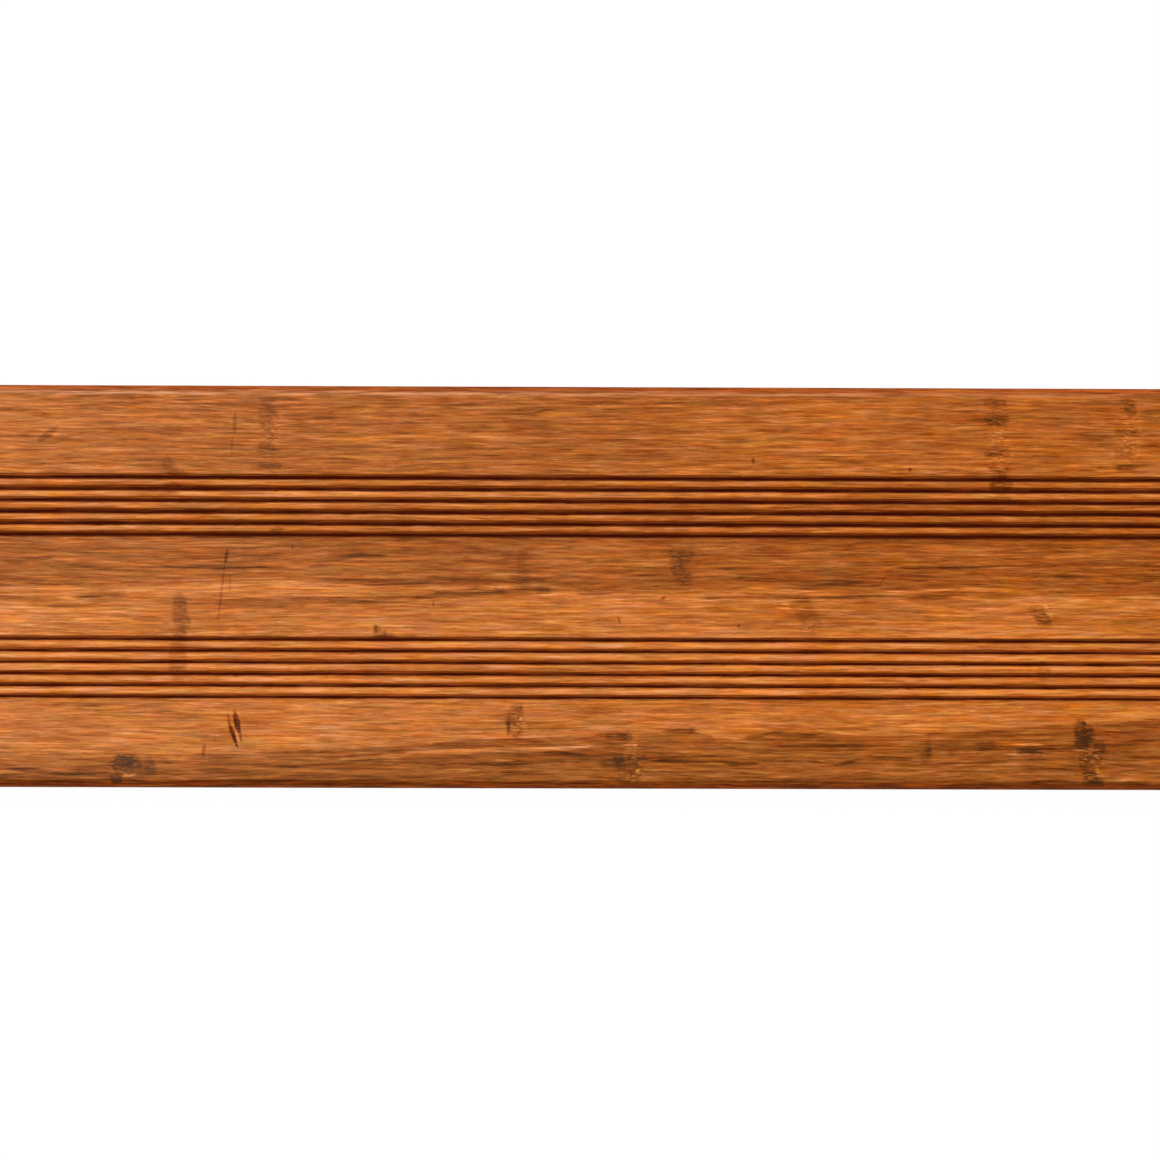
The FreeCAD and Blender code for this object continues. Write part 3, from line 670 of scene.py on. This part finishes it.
def line_places(vertices):
    """How far each vertex lies above its land's border and above its three streaks, in their own widths, and
    how much each of them changes the tone there. Beyond the seen stretch they drift, and come and go."""
    x = vertices[..., 0]
    y = vertices[..., 1]
    beyond = np.clip(np.abs(x) - SEEN_HALF, 0.0, None)
    drift = 6.0 * np.sin(beyond / 70.0)
    strength = np.cos(beyond / 300.0) ** 2
    distances = []
    changes = []
    for lines in (BORDERS, *STREAKS):
        distance = np.zeros_like(x)
        change = np.zeros_like(x)
        for land, line in zip((y > LAND_SPLIT, np.abs(y) <= LAND_SPLIT, y < -LAND_SPLIT), lines):
            line_x, line_y, width, step = np.array(line).T
            distance = np.where(land, (y - drift - np.interp(x, line_x, line_y)) / np.interp(x, line_x, width), distance)
            change = np.where(land, strength * np.interp(x, line_x, step), change)
        distances.append(distance)
        changes.append(change)
    return np.stack(distances, -1), np.stack(changes, -1)


def strand_finish(vertices):
    """The tone of the strands, how far a joint is crushed and how many crumbs lie in it, at each vertex."""
    x = vertices[..., 0]
    y = vertices[..., 1]
    face_y, face_tone = np.array(FACE_TONES[::-1]).T
    tone = np.interp(y, face_y, face_tone)
    tone = np.where(vertices[..., 2] < BOARD_THICKNESS - 3.0, 0.57, tone)
    for patch_x, patch_y, half_length, half_height, change in PATCHES:
        tone = tone + change * blot(x, y, patch_x, patch_y, half_length, half_height)
    joint = np.zeros_like(x)
    for joint_x, joint_y, half_length, half_height, darkness in (*JOINTS, *unseen_joints()):
        spread = blot(x, y, joint_x, joint_y, 1.15 * half_length, 1.15 * half_height)
        joint = np.maximum(joint, darkness * np.minimum(1.8 * spread, 1.0))
    crumb = np.zeros_like(x)
    for crumb_x, crumb_y, half_length, half_height, amount in CRUMBS:
        crumb = np.maximum(crumb, amount * blot(x, y, crumb_x, crumb_y, half_length, half_height))
    return np.stack([tone, joint, crumb], -1)


def unseen_joints():
    """Crushed joints over the rest of the board, a few to each hand's width."""
    random = np.random.default_rng(7)
    joints = []
    for side in (-1, 1):
        for _ in range(26):
            x = side * random.uniform(SEEN_HALF + 8, BOARD_LENGTH / 2)
            y = random.uniform(-66.0, 66.0)
            for _ in range(3):
                half_length = random.uniform(4.0, 7.0)
                half_height = random.uniform(1.5, 4.0)
                joints.append((x + random.uniform(-2, 2), y, half_length, half_height, random.uniform(0.35, 0.95)))
                y += random.uniform(-6.0, 6.0)
    return joints


def board_uv(section, places):
    """For each quad corner, its place in the unit square: the seen stretch of the face has most of the room."""
    face = section[:, 1] > BOARD_THICKNESS - 3.001
    rows = len(section)
    steps = np.linalg.norm(np.roll(section, -1, 0) - section, axis=1)
    along = np.concatenate([[0], np.cumsum(steps)])
    top_rows = np.flatnonzero(face)
    first, last = top_rows[0], top_rows[-1]
    groups = [
        (first, last, -BOARD_LENGTH, -SEEN_HALF, 0.002, 0.180),
        (first, last, -SEEN_HALF, SEEN_HALF, 0.184, 0.584),
        (first, last, SEEN_HALF, BOARD_LENGTH, 0.588, 0.766),
        (0, first, -BOARD_LENGTH, BOARD_LENGTH, 0.770, 0.868),
        (last, rows, -BOARD_LENGTH, BOARD_LENGTH, 0.872, 0.932),
    ]
    u = np.zeros((len(places) - 1, rows, 4))
    v = np.zeros((len(places) - 1, rows, 4))
    for row_from, row_to, x_from, x_to, low, high in groups:
        quads = np.flatnonzero((places[:-1] >= x_from - 1e-6) & (places[1:] <= x_to + 1e-6))
        start = places[quads[0]]
        end = places[quads[-1] + 1]
        near = ((places[quads] - start) / (end - start))[:, None]
        far = ((places[quads + 1] - start) / (end - start))[:, None]
        band = np.arange(row_from, row_to)
        length = along[row_to] - along[row_from]
        lower = (low + (along[band] - along[row_from]) / length * (high - low))[None, :]
        upper = (low + (along[band + 1] - along[row_from]) / length * (high - low))[None, :]
        for corner, (a, b) in enumerate(((near, lower), (near, upper), (far, upper), (far, lower))):
            u[quads[:, None], band[None, :], corner] = 0.002 + 0.996 * a
            v[quads[:, None], band[None, :], corner] = b
    return np.stack([u, v], -1).reshape(-1, 2)


def board_mesh(sizes):
    """The whole board as one closed mesh."""
    section = section_points(sizes)
    places = station_places()
    vertices = board_vertices(sizes, section, places)
    rows = len(section)
    count = len(places)
    for end in (0, count - 1):
        inward = section - section.mean(0)
        shrink = inward / np.linalg.norm(inward, axis=1)[:, None] * sizes.sawn_arris / MM
        vertices[end, :, 1:] -= shrink
    index = np.arange(count * rows).reshape(count, rows)
    near = index[:-1]
    far = index[1:]
    quads = np.stack([near, np.roll(near, -1, 1), np.roll(far, -1, 1), far], -1).reshape(-1, 4)
    faces = quads.tolist()
    faces.append(index[0, ::-1].tolist())
    faces.append(index[-1].tolist())
    mesh = bpy.data.meshes.new(NODE)
    mesh.from_pydata((vertices.reshape(-1, 3) * MM).tolist(), [], faces)
    distances, changes = line_places(vertices)
    for name, values in (("line_distances", distances), ("line_changes", changes)):
        attribute = mesh.attributes.new(name, "FLOAT_COLOR", "POINT")
        attribute.data.foreach_set("color", values.astype(np.float32).ravel())
    finish = mesh.attributes.new("strand_finish", "FLOAT_VECTOR", "POINT")
    finish.data.foreach_set("vector", strand_finish(vertices).astype(np.float32).ravel())
    end_uv = []
    for low_u, order in ((0.002, section[::-1]), (0.502, section)):
        spread = (order - [-BOARD_WIDTH / 2, 0]) / [BOARD_WIDTH, BOARD_THICKNESS]
        end_uv.append(spread * [0.49, 0.06] + [low_u, 0.936])
    layer = mesh.uv_layers.new(name="OFBake")
    layer.uv.foreach_set("vector", np.concatenate([board_uv(section, places), *end_uv]).astype(np.float32).ravel())
    mesh.shade_smooth()
    mesh.set_sharp_from_angle(angle=math.radians(40))
    mesh.update()
    return mesh


class Tree:
    """A short way to add shader nodes and to link them."""

    def __init__(self, tree):
        self.tree = tree

    def add(self, kind, **settings):
        """A new node with its settings."""
        node = self.tree.nodes.new(kind)
        for name, value in settings.items():
            setattr(node, name, value)
        return node

    def put(self, socket, value):
        """Links an output to a socket, or sets the socket to a plain value."""
        if isinstance(value, bpy.types.NodeSocket):
            self.tree.links.new(value, socket)
        else:
            socket.default_value = value

    def math(self, operation, *values, clamp=False):
        """The result of a math node."""
        node = self.add("ShaderNodeMath", operation=operation, use_clamp=clamp)
        for socket, value in zip(node.inputs, values):
            self.put(socket, value)
        return node.outputs["Value"]

    def vector(self, operation, *values):
        """The result of a vector math node."""
        node = self.add("ShaderNodeVectorMath", operation=operation)
        for socket, value in zip(node.inputs, values):
            self.put(socket, value)
        return node.outputs["Value" if operation in ("LENGTH", "DISTANCE", "DOT_PRODUCT") else "Vector"]

    def parts(self, vector):
        """The three parts of a vector or colour."""
        node = self.add("ShaderNodeSeparateXYZ")
        self.put(node.inputs[0], vector)
        return node.outputs

    def noise(self, place, lengths, detail=2.0, roughness=0.5):
        """Three noises about zero whose humps have these lengths along X, Y and Z, in millimetres."""
        stretched = self.vector("DIVIDE", place, lengths)
        node = self.add("ShaderNodeTexNoise")
        self.put(node.inputs["Vector"], stretched)
        node.inputs["Scale"].default_value = 1.0
        node.inputs["Detail"].default_value = detail
        node.inputs["Roughness"].default_value = roughness
        return self.vector("SUBTRACT", node.outputs["Color"], (0.5, 0.5, 0.5))

    def hump(self, place, lengths, detail=2.0, roughness=0.5):
        """One noise about zero whose humps have these lengths along X, Y and Z, in millimetres."""
        stretched = self.vector("DIVIDE", place, lengths)
        node = self.add("ShaderNodeTexNoise")
        self.put(node.inputs["Vector"], stretched)
        node.inputs["Scale"].default_value = 1.0
        node.inputs["Detail"].default_value = detail
        node.inputs["Roughness"].default_value = roughness
        return self.math("SUBTRACT", node.outputs[0], 0.5)

    def cells(self, place, lengths):
        """A random value about zero for each stretched cell."""
        stretched = self.vector("DIVIDE", place, lengths)
        node = self.add("ShaderNodeTexVoronoi")
        self.put(node.inputs["Vector"], stretched)
        node.inputs["Scale"].default_value = 1.0
        return self.math("SUBTRACT", self.parts(node.outputs["Color"])[0], 0.5)

    def between(self, value, low, high, to_low=0.0, to_high=1.0):
        """value smoothly mapped from one range to another."""
        node = self.add("ShaderNodeMapRange", interpolation_type="SMOOTHSTEP")
        for name, number in (("Value", value), ("From Min", low), ("From Max", high),
                             ("To Min", to_low), ("To Max", to_high)):
            self.put(node.inputs[name], number)
        return node.outputs["Result"]

    def mix(self, factor, first, second, blend="MIX"):
        """Two colours mixed."""
        node = self.add("ShaderNodeMix", data_type="RGBA", blend_type=blend)
        self.put(node.inputs[0], factor)
        self.put(node.inputs[6], first)
        self.put(node.inputs[7], second)
        return node.outputs[2]

    def ramp(self, value, stops):
        """A colour read from a ramp of (position, colour) stops."""
        node = self.add("ShaderNodeValToRGB")
        elements = node.color_ramp.elements
        while len(elements) < len(stops):
            elements.new(0.5)
        for element, (position, colour) in zip(elements, stops):
            element.position = position
            element.color = (*colour, 1.0)
        self.put(node.inputs[0], value)
        return node.outputs["Color"]


def strand_noise(t, place, grain):
    """How much lighter or darker the strands are than their land, and the two noises that the relief shares."""
    bundle = t.cells(grain, (95.0, 3.0, 3.0))
    strand = t.cells(grain, (22.0, 1.1, 1.1))
    splinter = t.cells(place, (7.0, 0.65, 0.65))
    broad = t.hump(grain, (160.0, 11.0, 11.0), 1)
    fibre = t.hump(grain, (17.0, 0.9, 0.9), 2, 0.6)
    fine = t.hump(place, (5.0, 0.42, 0.42), 2, 0.65)
    tone = t.math("MULTIPLY", bundle, 0.05)
    tone = t.math("MULTIPLY_ADD", strand, 0.075, tone)
    tone = t.math("MULTIPLY_ADD", splinter, 0.065, tone)
    tone = t.math("MULTIPLY_ADD", broad, 0.20, tone)
    tone = t.math("MULTIPLY_ADD", fibre, 0.63, tone)
    tone = t.math("MULTIPLY_ADD", fine, 0.36, tone)
    tone = t.math("ADD", tone, t.between(fine, -0.13, -0.24, 0.0, -0.09))
    tone = t.math("ADD", tone, t.between(fine, 0.13, 0.24, 0.0, 0.07))
    return tone, fibre, fine


def painted_tone(t, place):
    """What the borders and streaks of the lands add to the tone, with ragged edges."""
    distances = t.add("ShaderNodeAttribute", attribute_name="line_distances")
    changes = t.add("ShaderNodeAttribute", attribute_name="line_changes")
    border, *streaks = [*t.parts(distances.outputs["Color"]), distances.outputs["Alpha"]]
    border_change, *streak_changes = [*t.parts(changes.outputs["Color"]), changes.outputs["Alpha"]]
    ragged = t.parts(t.noise(place, (16.0, 0.8, 0.8), 1))
    border = t.math("MULTIPLY_ADD", ragged[0], 2.8, border)
    tone = t.math("MULTIPLY", t.between(border, 0.32, -0.32, 0.0, 1.12), border_change)
    for streak, change, noise in zip(streaks, streak_changes, (ragged[1], ragged[2], ragged[0])):
        near = t.math("ABSOLUTE", t.math("MULTIPLY_ADD", noise, 3.0, streak))
        tone = t.math("MULTIPLY_ADD", t.between(near, 1.35, 0.55, 0.0, 1.2), change, tone)
    return tone


def marks_tone(t, place):
    """What the single marks add to the tone."""
    tone = 0.0
    for x, y, lean, half_length, half_width, change in MARKS:
        cosine = math.cos(math.radians(lean))
        sine = math.sin(math.radians(lean))
        along = t.vector("DOT_PRODUCT", place, (cosine / half_length, sine / half_length, 0.0))
        across = t.vector("DOT_PRODUCT", place, (-sine / half_width, cosine / half_width, 0.0))
        along = t.math("SUBTRACT", along, (x * cosine + y * sine) / half_length)
        across = t.math("SUBTRACT", across, (y * cosine - x * sine) / half_width)
        reach = t.math("MULTIPLY_ADD", along, along, t.math("MULTIPLY", across, across))
        tone = t.math("ADD", tone, t.between(reach, 1.2, 0.2, 0.0, change))
    on_face = t.math("GREATER_THAN", t.parts(place)["Z"], BOARD_THICKNESS - 1.5)
    return t.math("MULTIPLY", tone, on_face)


def bamboo_material(colours):
    """Pressed bamboo strands, alike all through the board, so that the ends and grooves show the same strands."""
    material = bpy.data.materials.new("pressed_bamboo")
    material.use_nodes = True
    t = Tree(material.node_tree)
    shader = material.node_tree.nodes["Principled BSDF"]
    place = t.vector("MULTIPLY", t.add("ShaderNodeTexCoord").outputs["Object"], (1000.0, 1000.0, 1000.0))
    grain = t.vector("MULTIPLY_ADD", t.noise(place, (120, 30, 30), 0), (0.0, 2.5, 2.5), place)
    grain = t.vector("MULTIPLY_ADD", t.noise(place, (22, 6, 6), 0), (0.0, 0.7, 0.7), grain)
    noise, fibre, fine = strand_noise(t, place, grain)
    finish = t.parts(t.add("ShaderNodeAttribute", attribute_name="strand_finish").outputs["Vector"])
    tone, joint, crumb = finish["X"], finish["Y"], finish["Z"]
    tone = t.math("ADD", tone, noise)
    tone = t.math("ADD", tone, painted_tone(t, place))
    tone = t.math("ADD", tone, marks_tone(t, place))

    where = t.parts(place)
    depth = t.math("SUBTRACT", BOARD_THICKNESS, where["Z"])
    off_ends = t.math("LESS_THAN", t.math("ABSOLUTE", where["X"]), BOARD_LENGTH / 2 - 0.05)
    in_bands = t.math("MULTIPLY", t.math("LESS_THAN", t.math("ABSOLUTE", where["Y"]), 46.0), off_ends)
    # Painted light: the +Y wall of each groove and the flank just above it are lightened in tone, more in the upper
    # band, as if lit
    aside = t.math("FLOORED_MODULO", t.math("SUBTRACT", t.math("ABSOLUTE", where["Y"]), 16.25), 4.0)
    aside = t.math("MULTIPLY", t.math("SUBTRACT", aside, 2.0), t.math("SIGN", where["Y"]))
    gentle = t.between(aside, -0.1, 0.8)
    upper = t.math("GREATER_THAN", where["Y"], 0.0)
    wall = t.math("MULTIPLY", t.between(depth, 0.05, 0.5), t.math("MULTIPLY", in_bands, gentle))
    tone = t.math("MULTIPLY_ADD", wall, t.math("MULTIPLY_ADD", upper, 0.05, 0.02), tone)

    crumble = t.hump(place, (3.0, 0.6, 0.6), 2, 0.65)
    joint = t.math("MULTIPLY", joint, t.between(t.math("MULTIPLY_ADD", crumble, 1.4, joint), 0.02, 0.40))
    crush = t.math("MULTIPLY", joint, t.between(crumble, 0.17, -0.10, 0.34, 1.0))
    tone = t.math("MULTIPLY_ADD", crush, -0.26, tone)
    chips = t.hump(place, (2.2, 0.50, 0.50), 1)
    crumb = t.math("MULTIPLY", crumb, t.between(chips, 0.01, 0.10))
    tone = t.math("MULTIPLY_ADD", crumb, 0.30, tone)

    colour = t.ramp(tone, [
        (0.2, colours.burnt), (0.3, colours.darkest), (0.4, colours.dark), (0.5, colours.dull),
        (0.6, colours.middle), (0.7, colours.light), (0.8, colours.lighter), (0.9, colours.pale)])
    hue = t.parts(t.noise(grain, (16.0, 2.2, 2.2), 2, 0.65))
    colour = t.vector("MULTIPLY", colour, t.vector("MULTIPLY_ADD", (0.45, -0.33, -2.0), hue[0], (1.0, 1.0, 1.0)))
    colour = t.vector("MULTIPLY", colour, t.vector("MULTIPLY_ADD", (0.06, -0.12, 1.7), hue[1], (1.0, 1.0, 1.0)))
    colour = t.mix(t.math("MULTIPLY", crush, 0.45, clamp=True), colour, (*colours.bruise, 1.0))
    pith = t.between(crush, 0.38, 0.95)
    pith = t.math("MULTIPLY", pith, t.math("MULTIPLY_ADD", crumb, -0.9, 0.85), clamp=True)
    colour = t.mix(pith, colour, (*colours.pith, 1.0))

    # Painted shade: the grooves darken with depth towards the painted groove shade, more on their -Y side than on
    # their +Y side. A strip of the reed edge just below each groove of both bands is darkened too.
    rim = t.math("MULTIPLY_ADD", t.math("MAXIMUM", gentle, upper), -0.25, 0.25)
    in_groove = t.between(depth, rim, t.math("MULTIPLY_ADD", upper, -0.5, 1.4))
    brim = t.math("MULTIPLY", t.math("LESS_THAN", aside, 0.0), t.between(aside, -1.85, -0.75))
    beside = t.math("COMPARE", t.math("ABSOLUTE", t.math("ADD", where["Y"], 0.8)), 28.2, 10.7)
    brim = t.math("MULTIPLY", brim, t.math("MULTIPLY", beside, t.math("MULTIPLY_ADD", upper, 0.5, 0.35)))
    in_groove = t.math("MULTIPLY", t.math("ADD", brim, in_groove, clamp=True), in_bands)
    # Painted lack of sheen: from 0.6 to 2.5 mm below the face the colour is tinted redder and darker. This covers the
    # bevels, the reed edges, the grooves and the top of the sides, and stands in for the sheen these faces do not
    # catch.
    unsheened_mask = t.math("MULTIPLY", t.between(depth, 0.1, 0.6), t.between(depth, 4.5, 2.5))
    unsheened_mask = t.math("MULTIPLY", unsheened_mask, off_ends)
    painted_groove_shade = t.math("MULTIPLY_ADD", hue[2], 0.5, t.math("MULTIPLY_ADD", gentle, -0.80, 0.97), clamp=True)
    painted_groove_shade = t.math("MULTIPLY", in_groove, painted_groove_shade)
    painted_groove_shade = t.math("MULTIPLY", painted_groove_shade, t.math("LESS_THAN", depth, 5.0))
    # Painted sheen falloff: the strands are tinted warmer, and warmest and most saturated round x = 170, away from the
    # lamp on the -X side, as if less sheen fell there. The tint fades out towards the -Y edge below y -46.
    painted_sheen_fade = t.between(t.math("ABSOLUTE", t.math("SUBTRACT", where["X"], 170.0)), 220.0, 60.0)
    tint = t.mix(painted_sheen_fade, (1.03, 0.975, 0.91, 1.0), (1.05, 0.94, 0.74, 1.0))
    tint = t.mix(t.between(where["Y"], -62.0, -46.0), (1.0, 1.0, 1.0, 1.0), tint)
    colour = t.vector("MULTIPLY", colour, tint)
    colour = t.vector("MULTIPLY", colour, t.mix(unsheened_mask, (1.0, 1.0, 1.0, 1.0), (*colours.painted_unsheened_tint, 1.0)))
    colour = t.mix(painted_groove_shade, colour, (*colours.painted_groove_shade, 1.0))
    # Painted highlight: a pale strip along the rounded +Y edge of the face, stronger towards the lamp on the -X side
    # and broken up by the fibres
    arris = t.math("MULTIPLY", t.between(where["Y"], 66.1, 67.0), t.between(where["Y"], 69.2, 67.3))
    arris = t.math("MULTIPLY", arris, t.between(where["X"], 180.0, -240.0, 0.12, 0.40))
    arris = t.math("MULTIPLY", arris, t.between(fibre, -0.12, 0.12, 0.3, 1.5))
    colour = t.mix(arris, colour, (*colours.painted_arris_highlight, 1.0))

    t.put(shader.inputs["Base Color"], colour)
    roughness = t.between(fibre, -0.2, 0.2, 0.42, 0.32)
    t.put(shader.inputs["Roughness"], t.math("MULTIPLY_ADD", in_groove, 0.5, roughness))
    shader.inputs["Specular IOR Level"].default_value = 0.12
    shader.inputs["Specular Tint"].default_value = (1.0, 0.74, 0.52, 1.0)
    bump = t.add("ShaderNodeBump")
    bump.inputs["Strength"].default_value = 1.0
    bump.inputs["Distance"].default_value = 0.00004
    t.put(bump.inputs["Height"], fine)
    t.put(shader.inputs["Normal"], bump.outputs["Normal"])
    return material


def floor_material(settings):
    """A pale floor that looks white to the camera away from the object's shadow."""
    material = bpy.data.materials.new("studio_floor")
    material.use_nodes = True
    t = Tree(material.node_tree)
    material.node_tree.nodes.remove(material.node_tree.nodes["Principled BSDF"])
    output = material.node_tree.nodes["Material Output"]
    matt = t.add("ShaderNodeBsdfDiffuse")
    matt.inputs["Color"].default_value = (*settings.floor_colour, 1.0)
    faint = t.add("ShaderNodeBsdfDiffuse")
    faint.inputs["Color"].default_value = (0.06, 0.06, 0.06, 1.0)
    white = t.add("ShaderNodeEmission")
    white.inputs["Color"].default_value = (1.0, 1.0, 1.0, 1.0)
    white.inputs["Strength"].default_value = 0.96
    seen = t.add("ShaderNodeAddShader")
    t.put(seen.inputs[0], faint.outputs[0])
    t.put(seen.inputs[1], white.outputs[0])
    rays = t.add("ShaderNodeLightPath")
    direct = t.math("MAXIMUM", rays.outputs["Is Camera Ray"], rays.outputs["Is Glossy Ray"])
    choice = t.add("ShaderNodeMixShader")
    t.put(choice.inputs[0], direct)
    t.put(choice.inputs[1], matt.outputs[0])
    t.put(choice.inputs[2], seen.outputs[0])
    t.put(output.inputs["Surface"], choice.outputs[0])
    return material


class DECKING_OT_make_board(bpy.types.Operator):
    """Makes the decking board with its finish"""

    bl_idname = "decking.make_board"
    bl_label = "Make Board"

    def execute(self, context):
        scene = context.scene
        board = bpy.data.objects.new("bamboo_board", board_mesh(scene.decking_sizes))
        scene.collection.objects.link(board)
        board.data.materials.append(bamboo_material(scene.decking_colours))
        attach(board, "root")
        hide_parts(NODE)
        return {"FINISHED"}


class DECKING_OT_make_studio(bpy.types.Operator):
    """Makes the floor, the lights and the camera"""

    bl_idname = "decking.make_studio"
    bl_label = "Make Studio"

    def execute(self, context):
        scene = context.scene
        settings = scene.decking_studio
        self.make_floor(scene, settings)
        self.make_lights(scene, settings)
        self.make_camera(scene, settings)
        scene.view_settings.view_transform = "Standard"
        return {"FINISHED"}

    def make_floor(self, scene, settings):
        """A wide flat floor at the height of the board's back."""
        half = 15.0
        mesh = bpy.data.meshes.new("studio_floor")
        corners = [(-half, -half, 0.0), (half, -half, 0.0), (half, half, 0.0), (-half, half, 0.0)]
        mesh.from_pydata(corners, [], [(0, 1, 2, 3)])
        floor = bpy.data.objects.new("studio_floor", mesh)
        floor.location.z = cad_low.z - 0.00002
        mesh.materials.append(floor_material(settings))
        scene.collection.objects.link(floor)

    def make_lights(self, scene, settings):
        """A large soft lamp high on the -X side, and even light from all round."""
        lamp = bpy.data.lights.new("key_light", "AREA")
        lamp.shape = "RECTANGLE"
        lamp.size = 2.4
        lamp.size_y = 1.2
        lamp.energy = settings.key_strength
        key = bpy.data.objects.new("key_light", lamp)
        key.location = settings.key_place
        key.rotation_euler = (-key.location).to_track_quat("-Z", "Y").to_euler()
        scene.collection.objects.link(key)
        world = bpy.data.worlds.new("studio_room")
        world.use_nodes = True
        t = Tree(world.node_tree)
        room = world.node_tree.nodes["Background"]
        room.inputs["Color"].default_value = (1.0, 1.0, 1.0, 1.0)
        rays = t.add("ShaderNodeLightPath")
        t.put(room.inputs["Strength"], t.between(rays.outputs["Is Camera Ray"], 0.0, 1.0, settings.sky_strength, 1.0))
        scene.world = world

    def make_camera(self, scene, settings):
        """A camera above the board that looks down on the middle of its face."""
        lens = bpy.data.cameras.new("camera")
        lens.sensor_width = 36.0
        tilt = math.atan2(settings.view_middle - settings.camera_across, settings.camera_height)
        lens.lens = lens.sensor_width * settings.camera_height / math.cos(tilt) / settings.frame_width
        camera = bpy.data.objects.new("camera", lens)
        camera.location = (settings.camera_along, settings.camera_across, cad_high.z + settings.camera_height)
        lean = math.atan2(settings.camera_along, settings.camera_height)
        camera.rotation_euler = (tilt, lean, settings.camera_turn)
        scene.collection.objects.link(camera)
        scene.camera = camera


class DECKING_PT_board(bpy.types.Panel):
    """The board's sizes and colours, and the studio"""

    bl_idname = "DECKING_PT_board"
    bl_label = "Decking Board"
    bl_space_type = "VIEW_3D"
    bl_region_type = "UI"
    bl_category = "Decking"

    def draw(self, context):
        for group in (context.scene.decking_sizes, context.scene.decking_colours, context.scene.decking_studio):
            box = self.layout.box()
            for name in group.__annotations__:
                box.prop(group, name)
        self.layout.operator(DECKING_OT_make_board.bl_idname)
        self.layout.operator(DECKING_OT_make_studio.bl_idname)


CLASSES = (
    BoardSizes, BambooColours, StudioSettings,
    DECKING_OT_make_board, DECKING_OT_make_studio, DECKING_PT_board,
)


def register():
    for kind in CLASSES:
        bpy.utils.register_class(kind)
    bpy.types.Scene.decking_sizes = PointerProperty(type=BoardSizes)
    bpy.types.Scene.decking_colours = PointerProperty(type=BambooColours)
    bpy.types.Scene.decking_studio = PointerProperty(type=StudioSettings)


def unregister():
    del bpy.types.Scene.decking_studio
    del bpy.types.Scene.decking_colours
    del bpy.types.Scene.decking_sizes
    for kind in reversed(CLASSES):
        bpy.utils.unregister_class(kind)


def main():
    """Makes the board and the studio."""
    register()
    bpy.ops.decking.make_board()
    bpy.ops.decking.make_studio()


if __name__ == "__main__":
    main()
